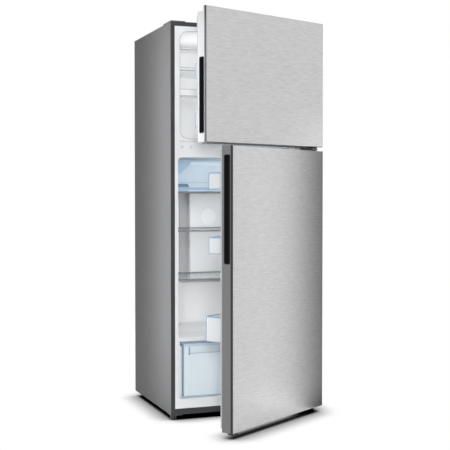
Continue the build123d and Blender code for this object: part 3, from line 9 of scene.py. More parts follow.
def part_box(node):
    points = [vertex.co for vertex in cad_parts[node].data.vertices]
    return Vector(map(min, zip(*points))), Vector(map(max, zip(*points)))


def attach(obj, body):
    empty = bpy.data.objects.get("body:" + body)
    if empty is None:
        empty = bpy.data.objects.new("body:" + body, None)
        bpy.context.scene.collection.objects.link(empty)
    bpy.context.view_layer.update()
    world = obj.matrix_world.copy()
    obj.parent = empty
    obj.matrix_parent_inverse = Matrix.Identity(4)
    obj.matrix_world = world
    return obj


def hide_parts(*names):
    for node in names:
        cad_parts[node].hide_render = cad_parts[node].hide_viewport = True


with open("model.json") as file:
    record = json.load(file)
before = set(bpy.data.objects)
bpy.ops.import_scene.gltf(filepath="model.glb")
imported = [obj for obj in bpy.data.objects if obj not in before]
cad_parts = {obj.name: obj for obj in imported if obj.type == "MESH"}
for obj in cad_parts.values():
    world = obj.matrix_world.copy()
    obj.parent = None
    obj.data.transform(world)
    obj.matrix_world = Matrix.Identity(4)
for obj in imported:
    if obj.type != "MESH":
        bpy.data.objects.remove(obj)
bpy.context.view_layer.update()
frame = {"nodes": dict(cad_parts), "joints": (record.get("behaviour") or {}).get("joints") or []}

bl_info = {
    "name": "Top Freezer Refrigerator",
    "version": (1, 0, 0),
    "blender": (4, 5, 0),
    "location": "3D View > Sidebar > Refrigerator",
    "description": "Finishes, small fittings and studio of a top freezer refrigerator",
    "category": "Object",
}

MM = 0.001
JOINTS = {joint["name"]: joint for joint in frame["joints"]}
DOORS = ("freezer_door", "fridge_door")
BINS = (("freezer_door_bins", "freezer_door"), ("fridge_door_bins", "fridge_door"), ("bottle_bin", "fridge_door"))
CRISPERS = (("crisper_left", -1), ("crisper_right", 1))
UP, DOWN = (0.0, 0.0, 1.0), (0.0, 0.0, -1.0)
FRONT, BACK = (0.0, -1.0, 0.0), (0.0, 1.0, 0.0)
NOWHERE = (0.0, 0.0, 0.0)

# Places and sizes of CAD nodes that the added pieces follow, with the doors shut.
DOOR_FREE_END = -350 * MM
DOOR_FRONT = -150.76 * MM
BIN_WALL = 2.5 * MM
BIN_CORNER = 16 * MM
CRISPER_WALL_X = 288 * MM
LINER_WALL_X = 316 * MM
LINER_FLOOR = 92 * MM
LINER_CORNER = 18 * MM
MOUTH_X = 306 * MM
MOUTH_Z = (1245 * MM, 1714 * MM)
MOUTH_CORNER = 40 * MM

# Surface of each moulded or painted finish: grain per metre, darkest tone, smoothest and roughest gloss, bump.
SKINS = {
    "Cabinet paint": (900.0, 0.95, (0.44, 0.54), 0.06),
    # A darker copy of the cabinet paint, painted for the shade on the front frame and the base panel.
    "Frame paint": (900.0, 0.94, (0.40, 0.50), 0.05),
    "Zinc sheet": (220.0, 0.86, (0.38, 0.52), 0.04),
    "Cap moulding": (700.0, 0.93, (0.42, 0.52), 0.1),
    "Foot moulding": (600.0, 0.85, (0.45, 0.6), 0.12),
    "Hinge coating": (500.0, 0.85, (0.4, 0.52), 0.1),
    "Hinge plating": (500.0, 0.85, (0.36, 0.48), 0.06),
    "Foam": (300.0, 0.85, (0.8, 0.95), 0.4),
    "Black enamel": (140.0, 0.8, (0.22, 0.36), 0.06),
    "Black rubber": (800.0, 0.8, (0.7, 0.85), 0.15),
    "Black moulding": (700.0, 0.9, (0.4, 0.5), 0.1),
    "Quartz": (300.0, 0.95, (0.1, 0.2), 0.02),
    "Fan moulding": (700.0, 0.94, (0.4, 0.5), 0.08),
    # Lit and shaded copies of one edge moulding, painted light and dark for the light that falls on them.
    "Lit edge moulding": (800.0, 0.97, (0.3, 0.4), 0.05),
    "Shaded edge moulding": (800.0, 0.95, (0.34, 0.44), 0.06),
    "Grip moulding": (900.0, 0.9, (0.3, 0.42), 0.08),
    "Liner sheet": (420.0, 0.975, (0.26, 0.36), 0.03),
    "Panel moulding": (700.0, 0.97, (0.34, 0.44), 0.05),
    "Vent moulding": (700.0, 0.98, (0.3, 0.4), 0.04),
    "Freezer trim": (700.0, 0.97, (0.34, 0.44), 0.05),
    "Cooling plate": (500.0, 0.95, (0.34, 0.46), 0.06),
    "Dial moulding": (700.0, 0.95, (0.35, 0.45), 0.08),
    "Lamp lens": (500.0, 0.98, (0.3, 0.4), 0.1),
    "Clear plastic": (260.0, 0.97, (0.12, 0.2), 0.02),
    "Shelf glass": (60.0, 0.97, (0.03, 0.06), 0.004),
    "Cover glass": (60.0, 0.97, (0.3, 0.4), 0.004),
    "Shelf trim": (60.0, 0.97, (0.2, 0.3), 0.004),
    "Rim plastic": (260.0, 0.96, (0.1, 0.18), 0.02),
    "Soft seal": (600.0, 0.92, (0.5, 0.62), 0.06),
    "Grey stop": (800.0, 0.92, (0.4, 0.5), 0.08),
    "Black stop": (800.0, 0.9, (0.4, 0.5), 0.08),
    # A dark strip that stands in for the shade in the gap between the doors.
    "Bottom strip": (800.0, 0.9, (0.5, 0.6), 0.08),
    "Plug moulding": (900.0, 0.9, (0.35, 0.45), 0.05),
    "Seam filler": (700.0, 0.94, (0.45, 0.55), 0.05),
    # Grey line of painted shade round the freezer's mouth.
    "Mouth line": (700.0, 0.94, (0.45, 0.55), 0.05),
    "Chiller band": (400.0, 0.96, (0.14, 0.22), 0.03),
    "Chiller runner": (400.0, 0.92, (0.14, 0.22), 0.03),
    "Chiller strip": (400.0, 0.97, (0.14, 0.22), 0.03),
    "Chiller gusset": (400.0, 0.96, (0.14, 0.22), 0.03),
    "Crisper rim": (400.0, 0.95, (0.14, 0.22), 0.03),
    "Crisper lip": (400.0, 0.95, (0.14, 0.22), 0.03),
    "Guide moulding": (700.0, 0.97, (0.34, 0.44), 0.05),
    "Louvre moulding": (700.0, 0.96, (0.34, 0.44), 0.05),
    "Black screw": (900.0, 0.85, (0.35, 0.5), 0.08),
}
# Surface of each bare metal: lines per metre, darkest tones of lines and streaks, gloss, bump.
METALS = {
    "Brushed steel": (1400.0, (0.90, 0.80), (0.24, 0.34), 0.08),
    "Copper": (260.0, (0.75, 0.9), (0.25, 0.4), 0.05),
    "Aluminium fins": (400.0, (0.85, 0.95), (0.3, 0.45), 0.05),
    "Zinc screw": (900.0, (0.8, 0.9), (0.25, 0.4), 0.05),
}
# Colours of the finishes that have no setting.
COLOURS = {
    "Cap moulding": (0.10, 0.10, 0.104),
    "Foot moulding": (0.022, 0.022, 0.023),
    "Hinge coating": (0.035, 0.035, 0.037),
    "Hinge plating": (0.16, 0.16, 0.165),
    "Foam": (0.80, 0.68, 0.40),
    "Black enamel": (0.012, 0.012, 0.013),
    "Black rubber": (0.016, 0.016, 0.016),
    "Black moulding": (0.02, 0.02, 0.021),
    "Quartz": (0.85, 0.85, 0.83),
    "Fan moulding": (0.27, 0.28, 0.29),
    "Vent moulding": (0.93, 0.935, 0.94),
    "Dial moulding": (0.18, 0.185, 0.19),
    "Lamp lens": (0.95, 0.96, 0.97),
    "Grey stop": (0.20, 0.202, 0.205),
    "Black stop": (0.02, 0.02, 0.021),
    "Bottom strip": (0.15, 0.151, 0.153),
    "Black screw": (0.03, 0.03, 0.032),
    "Copper": (0.72, 0.36, 0.22),
    "Aluminium fins": (0.72, 0.73, 0.75),
    "Zinc screw": (0.62, 0.62, 0.60),
}
# Other sockets of the shader that a finish sets.
SOCKETS = {
    "Cabinet paint": {"Specular IOR Level": 0.15},
    "Frame paint": {"Specular IOR Level": 0.3},
    "Zinc sheet": {"Metallic": 0.6},
    "Hinge coating": {"Metallic": 0.5},
    "Hinge plating": {"Metallic": 0.5},
    "Black screw": {"Metallic": 0.6},
    "Black enamel": {"Coat Weight": 0.3},
    "Liner sheet": {"Coat Weight": 0.1},
    "Lamp lens": {"Emission Color": (1.0, 0.98, 0.94, 1.0), "Emission Strength": 1.0},
    "Clear plastic": {"IOR": 1.49},
    "Rim plastic": {"IOR": 1.49},
    "Shelf glass": {"IOR": 1.5},
    "Cover glass": {"IOR": 1.5, "Specular IOR Level": 0.2},
    "Shelf trim": {"IOR": 1.5},
    "Brushed steel": {"Metallic": 1.0, "Anisotropic": 0.35},
    "Copper": {"Metallic": 1.0},
    "Aluminium fins": {"Metallic": 1.0},
    "Zinc screw": {"Metallic": 1.0},
}


def hinge_axis(door):
    """Place of a door's hinge axis on the floor plan."""
    x, y, _ = JOINTS[door + "_hinge"]["pos_m"]
    return Vector((x, y, 0.0))


def ajar_angle(door):
    """How far a door stands open at rest."""
    return -math.radians(JOINTS[door + "_hinge"]["range_deg"][0])


def ajar(door):
    """Turn from a closed door's place to where it stands ajar."""
    axis = Matrix.Translation(hinge_axis(door))
    return axis @ Matrix.Rotation(ajar_angle(door), 4, "Z") @ axis.inverted()


def colour(name, text, value):
    """A colour setting."""
    return bpy.props.FloatVectorProperty(
        name=name, description=text, subtype="COLOR", size=3, min=0.0, max=1.0, default=value
    )


def length(name, text, value):
    """A length setting in metres."""
    return bpy.props.FloatProperty(name=name, description=text, unit="LENGTH", min=0.0, default=value)


def number(name, text, value):
    """A plain number setting."""
    return bpy.props.FloatProperty(name=name, description=text, default=value)


def power(name, text, value):
    """A lamp's power setting in watts."""
    return bpy.props.FloatProperty(name=name, description=text, subtype="POWER", unit="POWER", default=value)


class CabinetLook(bpy.types.PropertyGroup):
    """Finishes of the cabinet's outside."""

    paint: colour("Side paint", "Satin grey of the cabinet's sides and top", (0.140, 0.141, 0.143))
    # Painted shade: the front frame is the cabinet's paint, darkened for the shade it stands in.
    frame_paint: colour("Frame paint", "Dark grey of the front frame", (0.046, 0.047, 0.050))
    sheet: colour("Back sheet", "Zinc grey of the back and base", (0.40, 0.41, 0.42))
    peel: number("Paint texture", "Bumps per metre of the sprayed paint", 900.0)
    screw: length("Screw head", "Radius of the flange of a screw head", 5.5 * MM)
    seam: colour("Seam", "Grey filler between the freezer's flange and the crossbar", (0.46, 0.465, 0.47))
    # Painted shade: a grey line round the freezer's mouth, where the flange turns into the walls.
    mouth: colour("Mouth line", "Fine moulded line round the freezer's mouth", (0.50, 0.505, 0.51))
    plug: length("Plug", "Radius of the plugs in the crossbar", 6.0 * MM)


class DoorLook(bpy.types.PropertyGroup):
    """Finishes of the doors."""

    steel: colour("Steel", "Brushed steel of the door panels", (0.655, 0.655, 0.66))
    lines: number("Brushing", "Brushed lines per metre of height", 1400.0)
    # Painted shade: how dark the panels' folded edges are painted beside their faces.
    folded: number("Folded edge", "Tone of the panels' folded edges beside their faces", 0.09)
    # The two door sides are one moulding: the freezer's is painted as a lit copy, light, and the fridge's as a shaded
    # copy, dark grey.
    freezer_side: colour("Freezer door side", "Lit edge moulding", (0.74, 0.75, 0.76))
    # Painted shade: tone of the freezer door's light moulding where it looks down.
    freezer_under: number("Door underside shade", "Tone of the light moulding where it looks down", 0.12)
    fridge_side: colour("Fridge door side", "Shaded edge moulding", (0.190, 0.192, 0.195))
    grip: colour("Grip", "Black grip cups", (0.0125, 0.013, 0.016))
    gasket: colour("Gasket", "Soft grey seal", (0.62, 0.63, 0.64))
    gasket_width: length("Gasket width", "Width of the seal", 14 * MM)
    gasket_height: length("Gasket height", "How far the seal stands off the liner", 11 * MM)
    soft_edge: length("Panel edge", "Radius of the steel panels' folded edges", 1.2 * MM)
    stop_length: length("Stop length", "Length of the stop under each door's free end", 36 * MM)
    stop_drop: length("Stop drop", "How far the stop hangs below its door", 8 * MM)
    # The dark strip stands in for the shade in the gap between the doors.
    strip_drop: length("Strip drop", "How far the dark strip hangs below the freezer door", 6 * MM)


class InsideLook(bpy.types.PropertyGroup):
    """Finishes of the two compartments."""

    liner: colour("Liner", "White formed liner", (0.85, 0.855, 0.86))
    plate: colour("Cooling plate", "Grey metal plate", (0.50, 0.505, 0.515))
    chiller: colour("Chiller tint", "Blue tint of the chiller drawer", (0.655, 0.765, 0.85))
    chiller_edge: colour("Chiller edge", "Deep tint along the chiller drawer's edges", (0.20, 0.33, 0.45))
    chiller_runner: colour("Chiller runner", "Dark runner caps of the chiller drawer", (0.12, 0.22, 0.32))
    chiller_band: colour("Chiller band", "Bands along the chiller drawer's front", (0.31, 0.43, 0.56))
    chiller_pale: colour("Chiller strip", "Pale strips along the chiller drawer's front", (0.60, 0.71, 0.80))
    chiller_gusset: colour("Chiller gusset", "Corner stiffeners of the chiller drawer", (0.34, 0.47, 0.58))
    crisper: colour("Crisper tint", "Pale tint of the crispers", (0.865, 0.945, 1.0))
    crisper_edge: colour("Crisper edge", "Deep tint along the crispers' edges", (0.27, 0.41, 0.53))
    bin: colour("Bin tint", "Pale tint of the door bins", (0.94, 0.965, 0.985))
    bin_edge: colour("Bin edge", "Deep tint along the bins' edges", (0.20, 0.38, 0.58))
    glass: colour("Glass tint", "Green edge of the shelves", (0.70, 0.76, 0.76))
    frosted: colour("Frosted glass", "White of the frosted glass over the crispers", (0.93, 0.935, 0.94))
    trim: colour("Shelf trim", "Smoky trims of the fridge shelves", (0.26, 0.27, 0.28))
    freezer_trim: colour("Freezer trim", "Grey white trims of the freezer shelves", (0.80, 0.805, 0.81))
    trim_line: colour("Trim line", "Grey line along the edges of the freezer trims", (0.16, 0.165, 0.17))
    rim: length("Bin rim", "Radius of the bead along a bin's top", 1.7 * MM)


class StageLook(bpy.types.PropertyGroup):
    """Studio floor, lights and camera."""

    floor: colour("Floor", "Pale studio floor", (0.86, 0.86, 0.86))
    key: power("Key light", "Power of the softbox beside the camera", 88.0)
    strip: power("Side light", "Power of the strip light beside the cabinet", 4.2)
    freezer: power("Freezer light", "Power of the light in the freezer", 0.53)
    fridge: power("Fridge light", "Power of the light in the fridge", 1.38)
    lens: bpy.props.FloatProperty(
        name="Lens", description="Focal length", subtype="DISTANCE_CAMERA", unit="CAMERA", default=79.556
    )


def fill(tree, node, values):
    """Links outputs to a node's sockets, or sets the sockets to plain values."""
    for label, value in values.items():
        if isinstance(value, bpy.types.NodeSocket):
            tree.links.new(value, node.inputs[label])
        else:
            node.inputs[label].default_value = value


def added(tree, kind, values=None, **traits):
    """Adds a node with its traits and sockets set, and gives its outputs."""
    node = tree.nodes.new("ShaderNode" + kind)
    for trait, value in traits.items():
        setattr(node, trait, value)
    fill(tree, node, values or {})
    return node.outputs


def noise(tree, vector, scale, detail, rough=0.5, warp=0.0):
    """A noise texture on a vector."""
    values = {"Vector": vector, "Scale": scale, "Detail": detail, "Roughness": rough, "Distortion": warp}
    return added(tree, "TexNoise", values)["Fac"]


def spread(tree, value, low, high, start=0.0, end=1.0):
    """Maps a value between two ends to a range of its own."""
    values = {"Value": value, "From Min": start, "From Max": end, "To Min": low, "To Max": high}
    return added(tree, "MapRange", values)["Result"]


def times(tree, a, b):
    """Multiplies a colour by a value."""
    return added(tree, "VectorMath", {"Vector": a, "Scale": b}, operation="SCALE")["Vector"]


def vector_of(tree, operation, a, b, output="Vector"):
    """A sum of two vectors."""
    return added(tree, "VectorMath", {0: a, 1: b}, operation=operation)[output]


def value_of(tree, operation, a, b):
    """A sum of two values."""
    return added(tree, "Math", {0: a, 1: b}, operation=operation)["Value"]


def blended(tree, mask, a, b):
    """One colour going over into another by a mask."""
    return added(tree, "Mix", {"Factor": mask, "A": a, "B": b}, data_type="RGBA")["Result"]


def object_place(tree):
    """Place on the piece, which turns with it."""
    return added(tree, "TexCoord")["Object"]


def looking(tree, way):
    """How straight a surface looks one way."""
    return vector_of(tree, "DOT_PRODUCT", added(tree, "TexCoord")["Normal"], way, "Value")


def built_once(build):
    """Builds a shader node group the first time that it is asked for."""
    name = build.__name__.replace("_", " ").capitalize()

    def group():
        return bpy.data.node_groups.get(name) or build(name)

    return group


def new_group(name, inputs, outputs):
    """An empty shader node group with named sockets, each of the kind that its value is."""
    group = bpy.data.node_groups.new(name, "ShaderNodeTree")
    for label, value in inputs.items():
        kind = "Float" if isinstance(value, float) else "Vector" if len(value) == 3 else "Color"
        socket = group.interface.new_socket(label, in_out="INPUT", socket_type="NodeSocket" + kind)
        socket.default_value = value
    for label in outputs:
        kind = "Color" if label == "Colour" else "Float"
        group.interface.new_socket(label, in_out="OUTPUT", socket_type="NodeSocket" + kind)
    return group, group.nodes.new("NodeGroupInput").outputs, group.nodes.new("NodeGroupOutput")


PALE = (0.8, 0.8, 0.8, 1.0)
LINE_RUN = 2.5
STREAK_SCALE = (24.0, 24.0, 230.0)
SOLID_SLACK = 0.4 * MM
SKIN_DEPTH = 0.2 * MM
LINE_DEPTH = 0.1 * MM
# Clear walls: blend of plastic and of glass, how far plastic takes its deep tint where it is seen along its wall,
# over which range, and how dense its edges are.
PLASTIC_BLEND = 0.45
GLASS_BLEND = 0.4
ALONG_TINT = (0.0, 0.8)
ALONG_RANGE = (0.45, 0.85)
EDGE_DENSITY = (0.0, 0.95)


@built_once
def moulded_skin(name):
    """Fine moulded or sprayed surface: a slow change of tone and a small even bump."""
    inputs = {"Colour": PALE, "Grain": 900.0, "Darkest": 0.95, "Smoothest": 0.3, "Roughest": 0.4}
    group, given, out = new_group(name, inputs, ("Colour", "Roughness", "Height"))
    place = object_place(group)
    shade = spread(group, noise(group, place, scale=3.2, detail=3.0), given["Darkest"], 1.0)
    patches = noise(group, place, scale=11.0, detail=4.0, rough=0.6)
    gloss = spread(group, patches, given["Smoothest"], given["Roughest"])
    height = noise(group, place, scale=given["Grain"], detail=2.0)
    fill(group, out, {"Colour": times(group, given["Colour"], shade), "Roughness": gloss, "Height": height})
    return group


@built_once
def brushed_lines(name):
    """Long fine brushing across a sheet with short wavy streaks in it, as tone, roughness and height."""
    inputs = {"Colour": PALE, "Lines": 1400.0, "Darkest": 0.9, "Streak": 0.95, "Smoothest": 0.28, "Roughest": 0.42}
    group, given, out = new_group(name, inputs, ("Colour", "Roughness", "Height"))
    place = object_place(group)
    run = added(group, "CombineXYZ", {"X": LINE_RUN, "Y": LINE_RUN, "Z": given["Lines"]})["Vector"]
    line = noise(group, vector_of(group, "MULTIPLY", place, run), scale=1.0, detail=3.0, rough=0.65)
    wide = vector_of(group, "MULTIPLY", place, STREAK_SCALE)
    streak = noise(group, wide, scale=1.0, detail=4.0, rough=0.65, warp=0.3)
    fine_tone = spread(group, line, given["Darkest"], 1.04)
    wide_tone = spread(group, streak, given["Streak"], 1.0, start=0.3, end=0.7)
    tone = value_of(group, "MULTIPLY", fine_tone, wide_tone)
    gloss = spread(group, line, given["Roughest"], given["Smoothest"])
    fill(group, out, {"Colour": times(group, given["Colour"], tone), "Roughness": gloss, "Height": line})
    return group


@built_once
def folded_edge(name):
    """Painted shade on a sheet's folded edges: darker where they stand away from the way its face looks."""
    group, given, out = new_group(name, {"Colour": PALE, "Edge shade tone": 0.3, "Face": FRONT}, ("Colour",))
    tone = spread(group, looking(group, given["Face"]), given["Edge shade tone"], 1.0, start=0.55, end=0.97)
    fill(group, out, {"Colour": times(group, given["Colour"], tone)})
    return group


@built_once
def grey_underside(name):
    """Painted shade on a moulding: it goes over to grey where it looks down."""
    group, given, out = new_group(name, {"Colour": PALE, "Underside shade tone": 0.1}, ("Colour",))
    tone = spread(group, looking(group, DOWN), 1.0, given["Underside shade tone"], start=0.4, end=0.9)
    fill(group, out, {"Colour": times(group, given["Colour"], tone)})
    return group


@built_once
def moulded_rim(name):
    """Mask of the edges of a box: one where two of its sides meet, nothing in the middle of a side."""
    inputs = {"Low": NOWHERE, "High": (1.0, 1.0, 1.0), "Centre": NOWHERE, "Turn": 0.0, "Reach": 0.006}
    group, given, out = new_group(name, inputs, ("Mask",))
    values = {"Vector": object_place(group), "Center": given["Centre"], "Angle": given["Turn"]}
    back = added(group, "VectorRotate", values, rotation_type="Z_AXIS")["Vector"]
    over = vector_of(group, "SUBTRACT", back, given["Low"])
    under = vector_of(group, "SUBTRACT", given["High"], back)
    split = added(group, "SeparateXYZ", {"Vector": vector_of(group, "MINIMUM", over, under)})
    sides = [split[axis] for axis in "XYZ"]
    near = [spread(group, side, 1.0, 0.0, end=given["Reach"]) for side in sides]
    pairs = [value_of(group, "MULTIPLY", near[k], near[k - 1]) for k in range(3)]
    mask = value_of(group, "MAXIMUM", value_of(group, "MAXIMUM", pairs[0], pairs[1]), pairs[2])
    for side in sides:
        mask = value_of(group, "MULTIPLY", mask, value_of(group, "GREATER_THAN", side, -SOLID_SLACK))
    fill(group, out, {"Mask": mask})
    return group


def rgba(value):
    """A colour setting with full opacity."""
    return (value[0], value[1], value[2], 1.0)


def shader_of(material):
    """A material's node tree and the shader in it."""
    return material.node_tree, material.node_tree.nodes["Principled BSDF"]


def finish(name, kind, skin, values, gloss, bump, depth):
    """A material whose colour, roughness and bump come from a surface group."""
    material = bpy.data.materials.new(name)
    material.use_nodes = True
    tree, shader = shader_of(material)
    surface = added(tree, "Group", {**values, "Smoothest": gloss[0], "Roughest": gloss[1]}, node_tree=skin)
    relief = added(tree, "Bump", {"Strength": bump, "Distance": depth, "Height": surface["Height"]})["Normal"]
    fill(tree, shader, {"Base Color": surface["Colour"], "Roughness": surface["Roughness"], "Normal": relief})
    fill(tree, shader, SOCKETS.get(kind, {}))
    return material


def moulded(name, value=None, kind=None, grain=None):
    """A moulded plastic or painted finish, by its own name or that of its kind."""
    kind = kind or name
    even, darkest, gloss, bump = SKINS[kind]
    values = {"Colour": rgba(value or COLOURS[kind]), "Grain": grain or even, "Darkest": darkest}
    return finish(name, kind, moulded_skin(), values, gloss, bump, SKIN_DEPTH)


def bare_metal(name, value=None, kind=None, lines=None):
    """A bare metal finish with fine lines, by its own name or that of its kind."""
    kind = kind or name
    fine, tones, gloss, bump = METALS[kind]
    values = {"Colour": rgba(value or COLOURS[kind]), "Lines": lines or fine, "Darkest": tones[0], "Streak": tones[1]}
    return finish(name, kind, brushed_lines(), values, gloss, bump, LINE_DEPTH)


def surface_colour(shader):
    """The colour that a shader takes so far."""
    return shader.inputs["Base Color"].links[0].from_socket


def toned(material, group, values):
    """Puts a group for tone between a material's colour and its shader."""
    tree, shader = shader_of(material)
    tone = added(tree, "Group", {"Colour": surface_colour(shader), **values}, node_tree=group)
    fill(tree, shader, {"Base Color": tone["Colour"]})


def edged(material, mask, value):
    """Lets a material's colour go over into another by a mask."""
    tree, shader = shader_of(material)
    fill(tree, shader, {"Base Color": blended(tree, mask, surface_colour(shader), rgba(value))})


def rim_mask(tree, boxes, reach, door=None):
    """Mask of the edges of one or more boxes, on a door turned with it."""
    turn = {"Centre": hinge_axis(door), "Turn": -ajar_angle(door)} if door else {}
    mask = None
    for low, high in boxes:
        values = {"Low": low, "High": high, "Reach": reach, **turn}
        one = added(tree, "Group", values, node_tree=moulded_rim())["Mask"]
        mask = one if mask is None else value_of(tree, "MAXIMUM", mask, one)
    return mask


def clear_plastic(node, tint, deep, density, reach, door=None):
    """Gives a node clear tinted plastic, deeper along its edges and where it is seen along its wall."""
    material = moulded("Plastic " + node, tint, "Clear plastic")
    tree, shader = shader_of(material)
    along = added(tree, "LayerWeight", {"Blend": PLASTIC_BLEND})["Facing"]
    rim = rim_mask(tree, solid_boxes(node, door), reach, door)
    mask = value_of(tree, "MAXIMUM", rim, spread(tree, along, *ALONG_TINT, *ALONG_RANGE))
    edged(material, mask, deep)
    wall = spread(tree, along, *density)
    fill(tree, shader, {"Alpha": value_of(tree, "MAXIMUM", wall, spread(tree, mask, *EDGE_DENSITY))})
    dress(material, node)


def pane(name, tint, density, *nodes):
    """Gives nodes clear glass, deeper in tint where it is seen along its face."""
    material = moulded(name, tint)
    tree, shader = shader_of(material)
    along = added(tree, "LayerWeight", {"Blend": GLASS_BLEND})["Facing"]
    fill(tree, shader, {"Alpha": spread(tree, along, *density)})
    dress(material, *nodes)


def dress(material, *nodes):
    """Gives CAD nodes a finish."""
    for name in nodes:
        piece = frame["nodes"][name]
        if not piece.material_slots:
            raise RuntimeError(name + " has no material slot")
        for slot in piece.material_slots:
            slot.material = material


WELD_REACH = 0.01 * MM
FOLD_ANGLE = math.radians(40)
SHARP_ANGLE = math.radians(35)


def soften(width, node):
    """Rounds the sharp edges of a CAD node a little so that they catch light."""
    piece = frame["nodes"][node]
    weld = piece.modifiers.new("Join", "WELD")
    weld.merge_threshold = WELD_REACH
    bevel = piece.modifiers.new("Edge", "BEVEL")
    bevel.width = width
    bevel.segments = 2
    bevel.limit_method = "ANGLE"
    bevel.angle_limit = FOLD_ANGLE
    bevel.harden_normals = True


def solid_boxes(node, door=None):
    """Boxes of a node's separate solids, in the place they have when the door is closed."""
    work = bmesh.new()
    work.from_mesh(frame["nodes"][node].data)
    bmesh.ops.remove_doubles(work, verts=work.verts, dist=WELD_REACH)
    if door:
        bmesh.ops.transform(work, matrix=ajar(door).inverted(), verts=work.verts)
    boxes = []
    left = set(work.verts)
    while left:
        grown = [left.pop()]
        for vert in grown:
            for edge in vert.link_edges:
                other = edge.other_vert(vert)
                if other in left:
                    left.remove(other)
                    grown.append(other)
        ends = [Vector([end(vert.co[axis] for vert in grown) for axis in range(3)]) for end in (min, max)]
        boxes.append(tuple(ends))
    work.free()
    return sorted(boxes, key=lambda box: (box[0].z, box[0].x))


def piece_from(name, mesh_builder, material, body, turn=None):
    """Makes a new piece from a bmesh and lets it ride on a body."""
    mesh = bpy.data.meshes.new(name)
    work = bmesh.new()
    mesh_builder(work)
    bmesh.ops.recalc_face_normals(work, faces=work.faces)
    if turn is not None:
        bmesh.ops.transform(work, matrix=turn, verts=work.verts)
    for face in work.faces:
        face.smooth = True
    work.to_mesh(mesh)
    work.free()
    piece = bpy.data.objects.new(name, mesh)
    bpy.context.scene.collection.objects.link(piece)
    mesh.materials.append(material)
    mesh.set_sharp_from_angle(angle=SHARP_ANGLE)
    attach(piece, body)
    return piece


def skin_rings(work, rings, endless=False):
    """Joins closed rings of points into one solid, with its two ends filled or met."""
    verts = [[work.verts.new(point) for point in ring] for ring in rings]
    count = len(verts[0])
    follow = verts[1:] + verts[:1] if endless else verts[1:]
    for here, there in zip(verts, follow):
        for k in range(count):
            work.faces.new((here[k], here[(k + 1) % count], there[(k + 1) % count], there[k]))
    if not endless:
        work.faces.new(verts[0])
        work.faces.new(list(reversed(verts[-1])))


def turned(work, place, way, rings, sides=24):
    """A turned solid on a face: rings of (radius, height, how hexagonal) along the way it points."""
    aim = Vector(UP).rotation_difference(Vector(way)).to_matrix()
    points = []
    for radius, height, hexagonal in rings:
        ring = []
        for k in range(sides):
            angle = 2 * math.pi * k / sides
            flat = math.cos(math.pi / 6) / math.cos(angle % (math.pi / 3) - math.pi / 6)
            reach = radius * (1 + hexagonal * (flat - 1))
            ring.append(Vector(place) + aim @ Vector((reach * math.cos(angle), reach * math.sin(angle), height)))
        points.append(ring)
    skin_rings(work, points)


def plate(work, x, z, back, proud, soft=0.4 * MM):
    """A straight strip standing off a front."""
    shaped_plate(work, ((x[0], z[0]), (x[1], z[0]), (x[1], z[1]), (x[0], z[1])), back, proud, soft)


def shaped_plate(work, outline, back, proud, soft):
    """A thin moulded plate standing off a front, with its outer edge drawn in a little."""
    middle = sum((Vector(point) for point in outline), Vector((0.0, 0.0))) / len(outline)
    inner = []
    for point in outline:
        way = middle - Vector(point)
        inner.append(Vector(point) + Vector((math.copysign(soft, way.x), math.copysign(soft, way.y))))
    rings = [[(x, back, z) for x, z in outline], [(x, back - proud * 0.6, z) for x, z in outline]]
    rings.append([(x, back - proud, z) for x, z in inner])
    skin_rings(work, rings)


class FRIDGE_OT_cabinet(bpy.types.Operator):
    """Paints the cabinet's outside and the sheet metal behind and below it"""

    bl_idname = "fridge.cabinet"
    bl_label = "Cabinet finishes"

    def execute(self, context):
        look = context.scene.fridge_cabinet
        dress(moulded("Cabinet paint", look.paint, grain=look.peel), "outer_wrapper")
        # The front frame and the base panel get a darker copy of the cabinet paint: painted shade.
        dress(moulded("Frame paint", look.frame_paint, grain=look.peel), "front_frame", "base_panel")
        sheet = moulded("Zinc sheet", look.sheet)
        dress(sheet, "back_panel", "compressor_base", "mullion_rail", "rear_cover", "roller_brackets")
        dress(moulded("Cap moulding"), "top_hinge_cover", "blank_hinge_cover")
        black = moulded("Foot moulding")
        dress(black, "levelling_foot_left", "levelling_foot_right", "rear_roller_left", "rear_roller_right")
        dress(moulded("Hinge coating"), "top_hinge", "bottom_hinge")
        dress(moulded("Hinge plating"), "middle_hinge")
        dress(moulded("Foam"), "cabinet_foam", "freezer_door_foam", "fridge_door_foam")
        return {"FINISHED"}


class FRIDGE_OT_machine(bpy.types.Operator):
    """Finishes the compressor, pipes and other hidden machine pieces"""

    bl_idname = "fridge.machine"
    bl_label = "Machine finishes"

    def execute(self, context):
        dress(moulded("Black enamel"), "compressor")
        dress(moulded("Black rubber"), "compressor_grommets")
        dress(moulded("Black moulding"), "relay_cover", "drip_tray", "fan_motor")
        dress(bare_metal("Copper"), "refrigerant_pipes")
        dress(bare_metal("Aluminium fins"), "evaporator")
        dress(moulded("Quartz"), "defrost_heater")
        dress(moulded("Fan moulding"), "evaporator_fan")
        return {"FINISHED"}


